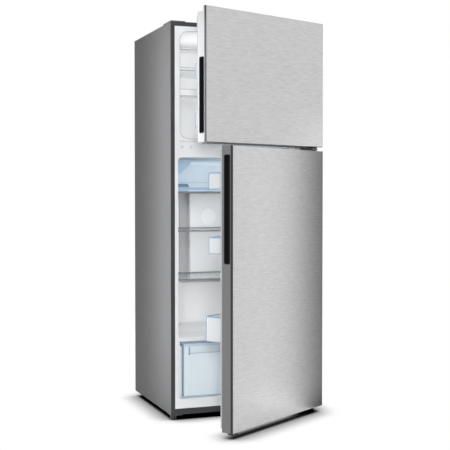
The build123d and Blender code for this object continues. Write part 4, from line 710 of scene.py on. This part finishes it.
class FRIDGE_OT_doors(bpy.types.Operator):
    """Finishes the steel door panels, their side mouldings and grips"""

    bl_idname = "fridge.doors"
    bl_label = "Door finishes"

    def execute(self, context):
        look = context.scene.fridge_doors
        for door in DOORS:
            steel = bare_metal("Brushed steel " + door, look.steel, "Brushed steel", look.lines)
            # The folded edges of each panel get painted shade, darker as they turn away from its front.
            facing = ajar(door).to_3x3() @ Vector(FRONT)
            toned(steel, folded_edge(), {"Edge shade tone": look.folded, "Face": facing})
            dress(steel, door + "_panel")
            soften(look.soft_edge, door + "_panel")
        # One edge moulding: a lit copy on the freezer door and a shaded copy on the fridge door.
        light = moulded("Lit edge moulding", look.freezer_side)
        # The freezer door's underside is painted grey as shade.
        toned(light, grey_underside(), {"Underside shade tone": look.freezer_under})
        dress(light, "freezer_door_frame")
        dress(moulded("Shaded edge moulding", look.fridge_side), "fridge_door_frame")
        dress(moulded("Grip moulding", look.grip), "freezer_door_grip", "fridge_door_grip")
        return {"FINISHED"}


# Clear pieces: how dense their walls look from straight on and from along them, and the reach of their deep edges.
CHILLER_WALL = ((0.72, 0.95), 10 * MM)
CRISPER_WALL = ((0.90, 0.97), 8 * MM)
DOOR_BIN_WALL = ((0.60, 0.94), 6 * MM)
SHELF_DENSITY = (0.05, 0.40)
COVER_DENSITY = (0.55, 0.92)
TRIM_DENSITY = (0.60, 0.95)
TRIM_LINE_REACH = 4 * MM


class FRIDGE_OT_inside(bpy.types.Operator):
    """Finishes the liners, shelves, drawers, bins and air panels"""

    bl_idname = "fridge.inside"
    bl_label = "Inside finishes"

    def execute(self, context):
        look = context.scene.fridge_inside
        white = moulded("Liner sheet", look.liner)
        dress(white, "freezer_liner", "fridge_liner", "freezer_door_liner", "fridge_door_liner")
        dress(moulded("Panel moulding", look.liner), "fridge_duct_panel", "freezer_air_panel", "crisper_trim")
        dress(moulded("Vent moulding"), "vent_disc")
        trim = moulded("Freezer trim", look.freezer_trim)
        line = rim_mask(trim.node_tree, solid_boxes("freezer_shelf_trims"), TRIM_LINE_REACH)
        edged(trim, line, look.trim_line)
        dress(trim, "freezer_shelf_trims")
        dress(moulded("Cooling plate", look.plate), "cooling_plate")
        dress(moulded("Dial moulding"), "freezer_dial")
        clear_plastic("chiller_drawer", look.chiller, look.chiller_edge, *CHILLER_WALL)
        for node, _ in CRISPERS:
            clear_plastic(node, look.crisper, look.crisper_edge, *CRISPER_WALL)
        for node, door in BINS:
            clear_plastic(node, look.bin, look.bin_edge, *DOOR_BIN_WALL, door)
        pane("Shelf glass", look.glass, SHELF_DENSITY, "freezer_shelf_glass", "fridge_shelf_glass")
        pane("Cover glass", look.frosted, COVER_DENSITY, "crisper_cover")
        pane("Shelf trim", look.trim, TRIM_DENSITY, "fridge_shelf_trims")
        dress(moulded("Lamp lens"), "lamp_lens")
        return {"FINISHED"}


BEAD_SIDES = 10
BEAD_STEPS = 6
BEAD_SINK = 0.4
POST_SIDES = 12
POST_FOOT = 6 * MM


def bead_mesh(work, low, high, radius):
    """A round bead along the top of a bin, round its front and up to the liner at its sides."""
    corner = BIN_CORNER - BIN_WALL / 2
    left = low.x + BIN_WALL / 2
    right = high.x - BIN_WALL / 2
    front = high.y - BIN_WALL / 2
    path = [(Vector((left, low.y + radius)), Vector((-1.0, 0.0)))]
    for centre_x, start in ((left + corner, 180.0), (right - corner, 90.0)):
        centre = Vector((centre_x, front - corner))
        for step in range(BEAD_STEPS + 1):
            angle = math.radians(start - 90.0 / BEAD_STEPS * step)
            out = Vector((math.cos(angle), math.sin(angle)))
            path.append((centre + out * corner, out))
    path.append((Vector((right, low.y + radius)), Vector((1.0, 0.0))))
    rings = []
    for place, out in path:
        ring = []
        for k in range(BEAD_SIDES):
            angle = 2 * math.pi * k / BEAD_SIDES
            point = place + out * radius * math.cos(angle)
            ring.append((point.x, point.y, high.z + radius * (math.sin(angle) - BEAD_SINK)))
        rings.append(ring)
    skin_rings(work, rings)


def post_pair(work, low, high, radius):
    """Beads up the two front corners of a bin, thinner at their feet."""
    draw = BIN_CORNER * (1 - math.sqrt(0.5))
    tall = high.z - low.z - 2.5 * radius
    rings = ((0.7 * radius, 0.0, 0), (1.2 * radius, POST_FOOT, 0), (1.2 * radius, tall, 0))
    for x in (low.x + draw, high.x - draw):
        turned(work, (x, high.y - draw, low.z), UP, rings, POST_SIDES)


class FRIDGE_OT_rims(bpy.types.Operator):
    """Runs a round bead along the top and the corners of each door bin"""

    bl_idname = "fridge.rims"
    bl_label = "Bin rims"

    def execute(self, context):
        look = context.scene.fridge_inside
        clear = moulded("Rim plastic", look.bin_edge)
        for node, door in BINS:
            for count, (low, high) in enumerate(solid_boxes(node, door)):

                def build(work):
                    bead_mesh(work, low, high, look.rim)
                    post_pair(work, low, high, look.rim)

                piece_from("%s_rim_%d" % (node, count), build, clear, door, ajar(door))
        return {"FINISHED"}


# Half of the seal's pleated section, in half widths across and in heights off the liner.
SEAL_HALF = ((1.0, 0.0), (1.0, 0.14), (0.60, 0.27), (0.92, 0.42), (0.66, 0.56), (0.80, 0.65), (0.80, 0.93), (0.68, 1.0))
SEAL_PROFILE = ((-1.0, 0.0), *SEAL_HALF, *((-across, up) for across, up in reversed(SEAL_HALF[1:])))


def seal_mesh(work, low, high, width, height):
    """A pleated seal swept round a door's inner face, with mitred corners."""
    rings = []
    for sx, sz in ((-1, -1), (1, -1), (1, 1), (-1, 1)):
        x = (high.x if sx > 0 else low.x) - sx * width / 2
        z = (high.z if sz > 0 else low.z) - sz * width / 2
        ring = []
        for across, up in SEAL_PROFILE:
            out = across * width / 2
            ring.append((x + sx * out, low.y + up * height, z + sz * out))
        rings.append(ring)
    skin_rings(work, rings, True)


class FRIDGE_OT_gaskets(bpy.types.Operator):
    """Builds the pleated magnetic seals of both doors"""

    bl_idname = "fridge.gaskets"
    bl_label = "Door seals"

    def execute(self, context):
        look = context.scene.fridge_doors
        soft = moulded("Soft seal", look.gasket)
        for door in DOORS:
            node = door + "_gasket"
            low, high = solid_boxes(node, door)[0]

            def build(work):
                seal_mesh(work, low, high, look.gasket_width, look.gasket_height)

            seal = piece_from(door + "_seal", build, soft, door, ajar(door))
            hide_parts(node)
        return {"FINISHED"}


STOP_INSET = 3 * MM
STOP_DEPTH = 30 * MM
STOP_SOFT = 1.2 * MM
STOP_CORNER = 0.6
STOP_STEPS = 4
# Dark strip under the freezer door, put in for the shade of the gap between the doors: its places across, and its front
# and back behind the door's front.
STRIP_X = (-310 * MM, -120 * MM, 70 * MM, 255 * MM)
STRIP_DEPTH = (4 * MM, 22 * MM)


def stop_mesh(work, span, depth, drop, top):
    """A moulded stop under a door: a tongue with rounded lower corners and a softened front."""
    corner = STOP_CORNER * drop
    outline = [(span[0], top), (span[1], top)]
    for centre_x, start in ((span[1] - corner, 0.0), (span[0] + corner, -90.0)):
        for step in range(STOP_STEPS + 1):
            angle = math.radians(start - 90.0 / STOP_STEPS * step)
            outline.append((centre_x + corner * math.cos(angle), top - drop + corner + corner * math.sin(angle)))
    middle = (span[0] + span[1]) / 2
    near, far = depth
    rings = []
    for y, inset in ((far, STOP_SOFT), (far - STOP_SOFT, 0.0), (near + STOP_SOFT, 0.0), (near, STOP_SOFT)):
        ring = []
        for x, z in outline:
            lift = inset if z < top - corner / 2 else 0.0
            ring.append((x + math.copysign(inset, middle - x), y, z + lift))
        rings.append(ring)
    skin_rings(work, rings)


class FRIDGE_OT_stops(bpy.types.Operator):
    """Hangs a small moulded stop under the free end of each door, and a dark strip under the freezer door, put in for
    the shade of the gap between the doors
    """

    bl_idname = "fridge.stops"
    bl_label = "Door stops"

    def execute(self, context):
        look = context.scene.fridge_doors
        start = DOOR_FREE_END + STOP_INSET
        span = (start, start + look.stop_length)
        depth = (DOOR_FRONT + STOP_INSET, DOOR_FRONT + STOP_DEPTH)
        for door, name, slot in zip(DOORS, ("Grey stop", "Black stop"), ("cap_grey", "black_plastic")):
            low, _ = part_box(door + "_frame")

            def build(work):
                stop_mesh(work, span, depth, look.stop_drop, low.z)

            piece_from(door + "_stop", build, moulded(name), door, ajar(door))
        self.fit_bottom_strip(look.strip_drop)
        return {"FINISHED"}

    # The dark strip is painted shade for the gap between the doors.
    def fit_bottom_strip(self, drop):
        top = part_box("freezer_door_frame")[0].z
        front, back = (DOOR_FRONT + depth for depth in STRIP_DEPTH)
        section = (
            (front, 0.0),
            (front, 0.55 * drop),
            (front + 0.35 * drop, 0.9 * drop),
            (front + drop, drop),
            (back - drop, drop),
            (back, 0.0),
        )

        def build(work):
            skin_rings(work, [[(x, y, top - low) for y, low in section] for x in STRIP_X])

        dark = moulded("Bottom strip")
        piece_from("freezer_door_gap_shade_strip", build, dark, "freezer_door", ajar("freezer_door"))


# Plugs: share of their radius, and height in mm. Sections of the lines: height off the flange and way across, in mm.
PLUG_PROFILE = ((1.0, 0.0), (1.0, 0.5), (0.86, 1.1), (0.3, 1.3))
PLUG_X = (-298 * MM, -256 * MM)
PLUG_Z = 1207 * MM
PLUG_TONE = 0.82
SEAM_X = (-312 * MM, 0.0, 268 * MM)
SEAM_Z = 1233 * MM
SEAM_SECTION = ((0.0, -0.9), (0.35, -0.6), (0.5, 0.0), (0.35, 0.6), (0.0, 0.9))
MOUTH_SECTION = ((0.0, 0.3), (0.5, 0.6), (0.7, 1.6), (0.5, 2.6), (0.0, 2.9))
MOUTH_STEPS = 8


class FRIDGE_OT_plugs(bpy.types.Operator):
    """Sets the plugs and the seam of the crossbar, and a grey line of painted shade round the freezer's mouth"""

    bl_idname = "fridge.plugs"
    bl_label = "Crossbar plugs and lines"

    def execute(self, context):
        look = context.scene.fridge_cabinet
        liner = context.scene.fridge_inside.liner
        white = moulded("Plug moulding", [PLUG_TONE * tone for tone in liner])
        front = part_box("fridge_liner")[0].y
        rings = [(share * look.plug, height * MM, 0) for share, height in PLUG_PROFILE]
        for count, x in enumerate(PLUG_X):

            def build(work):
                turned(work, (x, front, PLUG_Z), FRONT, rings)

            piece_from("crossbar_plug_%d" % count, build, white, "cabinet")
        self.fit_seam(look, front)
        self.fit_mouth_line(look, front)
        return {"FINISHED"}

    def fit_seam(self, look, front):
        def build(work):
            skin_rings(work, [[(x, front - out * MM, SEAM_Z + up * MM) for out, up in SEAM_SECTION] for x in SEAM_X])

        piece_from("crossbar_seam", build, moulded("Seam filler", look.seam), "cabinet")

    # A grey line of painted shade along the mouth's edge, where the flange turns into the walls.
    def fit_mouth_line(self, look, front):
        middle = (MOUTH_Z[0] + MOUTH_Z[1]) / 2
        reach = Vector((MOUTH_X - MOUTH_CORNER, (MOUTH_Z[1] - MOUTH_Z[0]) / 2 - MOUTH_CORNER))

        def build(work):
            rings = []
            for quarter in range(4):
                side_x, side_z = 1 if quarter in (0, 3) else -1, 1 if quarter < 2 else -1
                for step in range(MOUTH_STEPS + 1):
                    angle = math.radians(90 * quarter + 90 / MOUTH_STEPS * step)
                    ring = []
                    for out, off in MOUTH_SECTION:
                        radius = MOUTH_CORNER + off * MM
                        x = side_x * reach.x + math.cos(angle) * radius
                        ring.append((x, front - out * MM, middle + side_z * reach.y + math.sin(angle) * radius))
                    rings.append(ring)
            skin_rings(work, rings, True)

        piece_from("freezer_mouth_shade_line", build, moulded("Mouth line", look.mouth), "cabinet")


# Mouldings on the chiller drawer's front: heights of its bands and strips, outlines of its gussets and caps, in mm.
CHILLER_BANDS = ((8.0, 19.0), (40.0, 42.5))
CHILLER_STRIPS = ((0.8, 6.5), (119.0, 133.0))
CHILLER_GUSSET = ((0.0, 136.0), (74.0, 136.0), (72.0, 124.0), (62.0, 114.0), (42.0, 99.0), (36.0, 90.0), (0.0, 62.0))
CHILLER_CAP = ((0.0, 20.0), (67.0, 20.0), (61.0, 32.0), (56.0, 35.0), (0.0, 35.0))
CHILLER_INSET = 16 * MM
CHILLER_FACE = 4 * MM
STRIP_SHIFT = 60 * MM
LIP_INSET = 6 * MM
LIP_GAP = 8 * MM
LIP_ROWS = (-3 * MM, 3.6 * MM)
LIP_FACE = 2 * MM
BAND_PROUD, STRIP_PROUD, LIP_PROUD = 0.9 * MM, 0.6 * MM, 1.6 * MM
GUSSET_PROUD, CAP_PROUD = 0.7 * MM, 1.4 * MM
END_SOFT = 0.3 * MM
# Mouldings on a crisper's front: its border, corner post, inner edge, top strip, tab and lips.
CRISPER_INSET = 4 * MM
CRISPER_HEAD = 9 * MM
CRISPER_PROUD = 0.9 * MM
CRISPER_POST = 8 * MM
CRISPER_EDGE = 4 * MM
CRISPER_TOP = (-4 * MM, 5 * MM)
CRISPER_OVERHANG = 5 * MM
CRISPER_TAB = (36 * MM, 30 * MM)
CRISPER_TAB_DROP = (46 * MM, 8 * MM)
CRISPER_LIPS = (3 * MM, 6 * MM)
CRISPER_GAP = 1 * MM
CRISPER_JOINT = 0.2 * MM
# Guide beside a crisper: heights of its lower rings over the floor in mm, its play, depth, shoulder and top.
GUIDE_RISES = (0.6, 3.0, 8.0, 12.0, 18.0)
GUIDE_PLAY = 1.0 * MM
GUIDE_RIM_PLAY = 1.5 * MM
GUIDE_WALL_GAP = 0.5 * MM
GUIDE_SETBACK = 2 * MM
GUIDE_DEPTH = 30 * MM
GUIDE_NOSE = 4 * MM
GUIDE_SHOULDER = 16 * MM
GUIDE_TOP = 8 * MM


class FRIDGE_OT_fronts(bpy.types.Operator):
    """Adds the moulded rims, bands and guides of the drawer fronts"""

    bl_idname = "fridge.fronts"
    bl_label = "Drawer fronts"

    def execute(self, context):
        look = context.scene.fridge_inside
        self.trim_chiller(look)
        rim = moulded("Crisper rim", look.crisper_edge)
        pale = moulded("Crisper lip", look.chiller_pale)
        white = moulded("Guide moulding", look.liner)
        for node, sign in CRISPERS:
            self.trim_crisper(node, sign, rim, pale)
            self.fit_guide(node, sign, white)
        return {"FINISHED"}

    def trim_chiller(self, look):
        low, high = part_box("chiller_drawer")
        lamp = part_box("lamp_lens")
        front = low.y + CHILLER_FACE
        left, right = low.x + CHILLER_INSET, high.x - CHILLER_INSET
        pale = moulded("Chiller strip", look.chiller_pale)

        def across(spans, inset, proud):
            def build(work):
                for span in spans:
                    plate(work, (left + inset, right - inset), [low.z + z * MM for z in span], front, proud)

            return build

        def both_ends(points, proud):
            def build(work):
                for end, way in ((left, 1), (right, -1)):
                    outline = [(end + way * x * MM, low.z + z * MM) for x, z in points]
                    shaped_plate(work, outline, front, proud, END_SOFT)

            return build

        def lip_pair(work):
            for span in ((left + LIP_INSET, lamp[0].x - LIP_GAP), (lamp[1].x + LIP_GAP, right - LIP_INSET)):
                plate(work, span, [high.z + row for row in LIP_ROWS], low.y + LIP_FACE, LIP_PROUD)

        band = moulded("Chiller band", look.chiller_band)
        gusset = moulded("Chiller gusset", look.chiller_gusset)
        deep = moulded("Chiller runner", look.chiller_runner)
        for name, build, material in (
            ("chiller_front_bands", across(CHILLER_BANDS, 0.0, BAND_PROUD), band),
            ("chiller_lips", lip_pair, pale),
            ("chiller_front_strips", across(CHILLER_STRIPS, STRIP_SHIFT, STRIP_PROUD), pale),
            ("chiller_gussets", both_ends(CHILLER_GUSSET, GUSSET_PROUD), gusset),
            ("chiller_runner_caps", both_ends(CHILLER_CAP, CAP_PROUD), deep),
        ):
            piece_from(name, build, material, "chiller_drawer_body")

    def trim_crisper(self, node, sign, rim, pale):
        low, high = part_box(node)
        front = low.y
        wall = CRISPER_WALL_X
        inner = (low.x if sign > 0 else -high.x) + CRISPER_INSET
        bottom, top = low.z + CRISPER_INSET, high.z - CRISPER_HEAD
        head = high.z + CRISPER_TOP[0] - CRISPER_JOINT

        def strip(work, x, z, back=front, out=CRISPER_PROUD):
            plate(work, sorted(sign * place for place in x), z, back, out)

        def build_rim(work):
            post = (wall - CRISPER_POST, wall - CRISPER_GAP)
            strip(work, post, (bottom, head - CRISPER_JOINT), front + CRISPER_POST, CRISPER_POST + CRISPER_PROUD)
            strip(work, (inner, inner + CRISPER_EDGE), (bottom, top))
            strip(work, (inner, wall + CRISPER_OVERHANG), [high.z + row for row in CRISPER_TOP])
            strip(work, [wall - place for place in CRISPER_TAB], [top - drop for drop in CRISPER_TAB_DROP])

        def build_lip(work):
            ends = (inner + CRISPER_EDGE + CRISPER_JOINT, wall - CRISPER_POST - CRISPER_GAP)
            for span in ((bottom, bottom + CRISPER_LIPS[0]), (top - CRISPER_LIPS[1], head)):
                strip(work, ends, span)

        piece_from(node + "_front_rim", build_rim, rim, node + "_body")
        piece_from(node + "_lip", build_lip, pale, node + "_body")

    def fit_guide(self, node, sign, white):
        low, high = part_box(node)
        wall = LINER_WALL_X - GUIDE_WALL_GAP
        under_rim = CRISPER_WALL_X + GUIDE_PLAY
        beside_rim = max(-low.x, high.x) + GUIDE_RIM_PLAY
        front = low.y + GUIDE_SETBACK
        back = front + GUIDE_DEPTH
        shoulder = high.z - GUIDE_SHOULDER

        def ring(z, inner):
            height = max(0.0, LINER_CORNER - (z - LINER_FLOOR))
            outer = wall - LINER_CORNER + math.sqrt(LINER_CORNER**2 - height**2)
            nose = inner + (outer - inner) * 0.25
            corners = ((outer, front), (nose, front), (inner, front + GUIDE_NOSE), (inner, back), (outer, back))
            return [(sign * x, y, z) for x, y in corners]

        def build(work):
            rings = [ring(LINER_FLOOR + rise * MM, under_rim) for rise in GUIDE_RISES]
            rings.append(ring(shoulder, under_rim))
            rings += [ring(z, beside_rim) for z in (shoulder + GUIDE_NOSE, high.z + GUIDE_TOP)]
            skin_rings(work, rings)

        piece_from(node + "_guide", build, white, "cabinet")


SLATS = 3
SLAT_X = (-240 * MM, 240 * MM)
SLAT_TOP = 13 * MM
SLAT_PITCH = 7 * MM
SLAT_RISE = 4 * MM
SLAT_DEPTH = 2.6 * MM
SLAT_THICK = 1.2 * MM
SLAT_GAP = 0.2 * MM


class FRIDGE_OT_louvre(bpy.types.Operator):
    """Fits the slanted slats behind the freezer's air outlet"""

    bl_idname = "fridge.louvre"
    bl_label = "Outlet louvre"

    def execute(self, context):
        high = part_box("freezer_air_panel")[1]
        near = high.y + SLAT_GAP

        def build(work):
            for step in range(SLATS):
                middle = high.z - SLAT_TOP - step * SLAT_PITCH
                low, top = middle - SLAT_RISE, middle + SLAT_RISE
                section = ((0.0, low), (SLAT_DEPTH, top), (SLAT_DEPTH + SLAT_THICK, top), (SLAT_THICK, low))
                skin_rings(work, [[(x, near + back, z) for back, z in section] for x in SLAT_X])

        white = moulded("Louvre moulding", context.scene.fridge_inside.liner)
        piece_from("freezer_outlet_louvre", build, white, "cabinet")
        return {"FINISHED"}


# Screw head: radius and height as shares of its flange's radius, and how hexagonal.
SCREW_PROFILE = (
    (1.0, 0.0, 0),
    (1.0, 0.12, 0),
    (0.78, 0.24, 0),
    (0.72, 0.26, 1),
    (0.72, 0.58, 1),
    (0.58, 0.68, 0),
    (0.40, 0.68, 0),
    (0.34, 0.56, 0),
)
SCREW_INSET = 10 * MM
FLANGE_THICK = 3 * MM
FLANGE_STEP = 7.5 * MM


class FRIDGE_OT_screws(bpy.types.Operator):
    """Drives the flanged screws of the middle hinge and the rear cover"""

    bl_idname = "fridge.screws"
    bl_label = "Screws"

    def execute(self, context):
        size = context.scene.fridge_cabinet.screw
        low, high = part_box("rear_cover")
        columns = (low.x + SCREW_INSET, 0.0, high.x - SCREW_INSET)
        cover = [(x, high.y, z) for x in columns for z in (low.z + SCREW_INSET, high.z - SCREW_INSET)]
        self.drive("rear_cover_screws", size, cover, BACK, bare_metal("Zinc screw"), "base_steel")
        low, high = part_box("middle_hinge")
        middle = (low.z + high.z) / 2
        x, y = low.x + SCREW_INSET, high.y - FLANGE_THICK
        flange = [(x, y, middle - FLANGE_STEP), (x, y, middle + FLANGE_STEP)]
        self.drive("middle_hinge_screws", size, flange, FRONT, moulded("Black screw"), "hinge_steel")
        return {"FINISHED"}

    def drive(self, name, size, places, way, material, slot):
        rings = [(radius * size, height * size, hexagonal) for radius, height, hexagonal in SCREW_PROFILE]

        def build(work):
            for place in places:
                turned(work, place, way, rings)

        piece_from(name, build, material, "cabinet")


def mixed(tree, mask, a, b):
    """One shader going over into another by a mask."""
    return added(tree, "MixShader", {0: mask, 1: a, 2: b})["Shader"]


def seen_rays(tree):
    """One for rays from the camera, in mirrors and through glass."""
    path = added(tree, "LightPath")
    total = path["Is Camera Ray"]
    for label in ("Is Glossy Ray", "Is Transmission Ray"):
        total = value_of(tree, "MAXIMUM", total, path[label])
    return total


def stage_piece(mesh):
    """A piece of the studio with a material of its own name, and that material's node tree."""
    piece = bpy.data.objects.new(mesh.name, mesh)
    bpy.context.scene.collection.objects.link(piece)
    material = bpy.data.materials.new(mesh.name)
    material.use_nodes = True
    mesh.materials.append(material)
    return piece, material.node_tree


def area_light(name, place, target, size, watts):
    """A soft rectangular lamp aimed at a point, unseen itself."""
    data = bpy.data.lights.new(name, "AREA")
    data.shape = "RECTANGLE"
    data.size, data.size_y = size
    data.energy = watts
    lamp = bpy.data.objects.new(name, data)
    lamp.location = place
    lamp.rotation_euler = (Vector(target) - Vector(place)).to_track_quat("-Z", "Y").to_euler()
    lamp.visible_camera = False
    bpy.context.scene.collection.objects.link(lamp)
    return lamp


AIR_COLOUR = (0.97, 0.98, 1.0, 1.0)
AIR_STRENGTH = 0.20
FLOOR_RADIUS = 4.0
FLOOR_FADE = (1.2, 2.2)
SHADOW_REACH = 0.13
SHADOW_RANGE = (0.34, 0.92)
# Lamps: name, place, aim, size, the setting with their power, their share of it, and whether metal mirrors them.
LAMPS = (
    ("Key softbox", (-1.5, -4.1, 1.5), (0.0, 0.0, 0.9), (0.8, 1.2), "key", 1.0, False),
    ("Front fill", (0.6, -4.2, 2.3), (0.0, 0.0, 0.9), (2.4, 2.4), "key", 0.4, False),
    ("Top softbox", (0.0, -0.4, 3.6), (0.0, 0.0, 1.0), (2.4, 2.4), "key", 0.4, True),
    ("Back fill", (3.0, 2.2, 2.0), (0.3, 0.3, 0.9), (2.0, 2.4), "key", 0.35, True),
    ("Side strip", (-0.80, -0.05, 0.95), (-0.35, -0.03, 0.95), (0.06, 1.75), "strip", 1.0, True),
    ("Freezer light", (0.14, -0.03, 1.50), (-0.3, 0.3, 1.53), (0.22, 0.36), "freezer", 1.0, False),
    ("Freezer top", (-0.12, 0.12, 1.655), (-0.12, 0.12, 1.80), (0.30, 0.34), "freezer", 0.46, False),
    ("Freezer middle", (0.20, 0.10, 1.52), (-0.3, 0.25, 1.53), (0.16, 0.05), "freezer", 0.9, False),
    ("Freezer bottom", (0.20, 0.10, 1.38), (-0.3, 0.25, 1.35), (0.16, 0.10), "freezer", 0.12, False),
    ("Fridge light", (0.16, -0.03, 0.92), (-0.3, 0.35, 0.92), (0.25, 0.36), "fridge", 1.0, False),
    ("Lower light", (0.0, 0.12, 0.585), (-0.05, 0.16, 0.34), (0.36, 0.24), "fridge", 0.19, False),
    ("Fridge lamp", (0.0, -0.014, 1.158), (-0.15, 0.1, 1.0), (0.12, 0.05), "fridge", 0.02, False),
)
STRIP_SPREAD = math.radians(110)
# Flag beside the doors that only mirrors see: near and far side, front and back, foot and top, tones and their fade.
FLAG_X = (0.40, 1.0)
FLAG_Y = (-0.50, 0.7)
FLAG_Z = (0.004, 1.4)
FLAG_TONES = (1.35, 0.06)
FLAG_FADE = (-0.29, -0.18)
CAMERA_PLACE = (-1.6450, -4.2576, 0.9949)
CAMERA_TURN = (math.radians(88.29), 0.0, math.radians(-20.35))
SENSOR_WIDTH = 36.0


class FRIDGE_OT_stage(bpy.types.Operator):
    """Builds the studio floor, lights, world and camera"""

    bl_idname = "fridge.stage"
    bl_label = "Studio"

    def execute(self, context):
        scene = context.scene
        look = scene.fridge_stage
        scene.view_settings.view_transform = "Standard"
        self.make_world(scene)
        self.make_floor(look)
        for name, place, target, size, setting, share, mirrored in LAMPS:
            lamp = area_light(name, place, target, size, getattr(look, setting) * share)
            lamp.visible_glossy = mirrored
        bpy.data.lights["Side strip"].spread = STRIP_SPREAD
        self.make_flag()
        self.make_camera(scene, look)
        return {"FINISHED"}

    def make_world(self, scene):
        world = bpy.data.worlds.new("Studio air")
        world.use_nodes = True
        scene.world = world
        tree = world.node_tree
        lit = tree.nodes["Background"]
        fill(tree, lit, {"Color": AIR_COLOUR, "Strength": AIR_STRENGTH})
        seen = added(tree, "Background", {"Color": (1.0, 1.0, 1.0, 1.0), "Strength": 1.0})["Background"]
        both = mixed(tree, seen_rays(tree), lit.outputs["Background"], seen)
        fill(tree, tree.nodes["World Output"], {"Surface": both})

    def make_floor(self, look):
        mesh = bpy.data.meshes.new("Studio floor")
        work = bmesh.new()
        bmesh.ops.create_circle(work, cap_ends=True, segments=96, radius=FLOOR_RADIUS)
        work.to_mesh(mesh)
        work.free()
        _, tree = stage_piece(mesh)
        shader = tree.nodes["Principled BSDF"]
        fill(tree, shader, {"Base Color": rgba(look.floor), "Roughness": 0.8, "Specular IOR Level": 0.0})
        shade = added(tree, "AmbientOcclusion", {"Distance": SHADOW_REACH})["AO"]
        shown = added(tree, "Emission", {"Strength": spread(tree, shade, 0.0, 1.0, *SHADOW_RANGE)})["Emission"]
        white = mixed(tree, seen_rays(tree), shader.outputs["BSDF"], shown)
        reach = vector_of(tree, "LENGTH", object_place(tree), NOWHERE, "Value")
        clear = added(tree, "BsdfTransparent")["BSDF"]
        faded = mixed(tree, spread(tree, reach, 0.0, 1.0, *FLOOR_FADE), white, clear)
        fill(tree, tree.nodes["Material Output"], {"Surface": faded})

    def make_flag(self):
        mesh = bpy.data.meshes.new("Dark flag")
        (near, far), (edge, back), (low, high) = FLAG_X, FLAG_Y, FLAG_Z
        foot = [(near, edge, low), (near, back, low), (far, back, low), (far, edge, low)]
        mesh.from_pydata(foot + [(far, back, high), (far, edge, high)], [], [(0, 1, 2, 3), (3, 2, 4, 5)])
        flag, tree = stage_piece(mesh)
        depth = added(tree, "SeparateXYZ", {"Vector": object_place(tree)})["Y"]
        shown = added(tree, "Emission", {"Strength": spread(tree, depth, *FLAG_TONES, *FLAG_FADE)})["Emission"]
        fill(tree, tree.nodes["Material Output"], {"Surface": shown})
        flag.visible_camera = False
        flag.visible_diffuse = False
        flag.visible_transmission = False
        flag.visible_shadow = False

    def make_camera(self, scene, look):
        data = bpy.data.cameras.new("Studio camera")
        data.lens = look.lens
        data.sensor_width = SENSOR_WIDTH
        camera = bpy.data.objects.new("Studio camera", data)
        camera.location = CAMERA_PLACE
        camera.rotation_euler = CAMERA_TURN
        scene.collection.objects.link(camera)
        scene.camera = camera


class FRIDGE_PT_sidebar(bpy.types.Panel):
    """Settings and steps of the refrigerator"""

    bl_idname = "FRIDGE_PT_sidebar"
    bl_label = "Refrigerator"
    bl_space_type = "VIEW_3D"
    bl_region_type = "UI"
    bl_category = "Refrigerator"

    def draw(self, context):
        for name in GROUPS:
            settings = getattr(context.scene, name)
            box = self.layout.box()
            for key in settings.__annotations__:
                box.prop(settings, key)
        for step in STEPS:
            self.layout.operator(step.bl_idname)


GROUPS = {
    "fridge_cabinet": CabinetLook,
    "fridge_doors": DoorLook,
    "fridge_inside": InsideLook,
    "fridge_stage": StageLook,
}
STEPS = (
    FRIDGE_OT_cabinet,
    FRIDGE_OT_machine,
    FRIDGE_OT_doors,
    FRIDGE_OT_inside,
    FRIDGE_OT_rims,
    FRIDGE_OT_gaskets,
    FRIDGE_OT_stops,
    FRIDGE_OT_plugs,
    FRIDGE_OT_fronts,
    FRIDGE_OT_louvre,
    FRIDGE_OT_screws,
    FRIDGE_OT_stage,
)


def register():
    for name, group in GROUPS.items():
        bpy.utils.register_class(group)
        setattr(bpy.types.Scene, name, bpy.props.PointerProperty(type=group))
    for step in STEPS:
        bpy.utils.register_class(step)
    bpy.utils.register_class(FRIDGE_PT_sidebar)


def unregister():
    bpy.utils.unregister_class(FRIDGE_PT_sidebar)
    for step in reversed(STEPS):
        bpy.utils.unregister_class(step)
    for name, group in GROUPS.items():
        delattr(bpy.types.Scene, name)
        bpy.utils.unregister_class(group)


def main():
    register()
    bpy.ops.fridge.cabinet()
    bpy.ops.fridge.machine()
    bpy.ops.fridge.doors()
    bpy.ops.fridge.inside()
    bpy.ops.fridge.rims()
    bpy.ops.fridge.gaskets()
    bpy.ops.fridge.stops()
    bpy.ops.fridge.plugs()
    bpy.ops.fridge.fronts()
    bpy.ops.fridge.louvre()
    bpy.ops.fridge.screws()
    bpy.ops.fridge.stage()


if __name__ == "__main__":
    main()
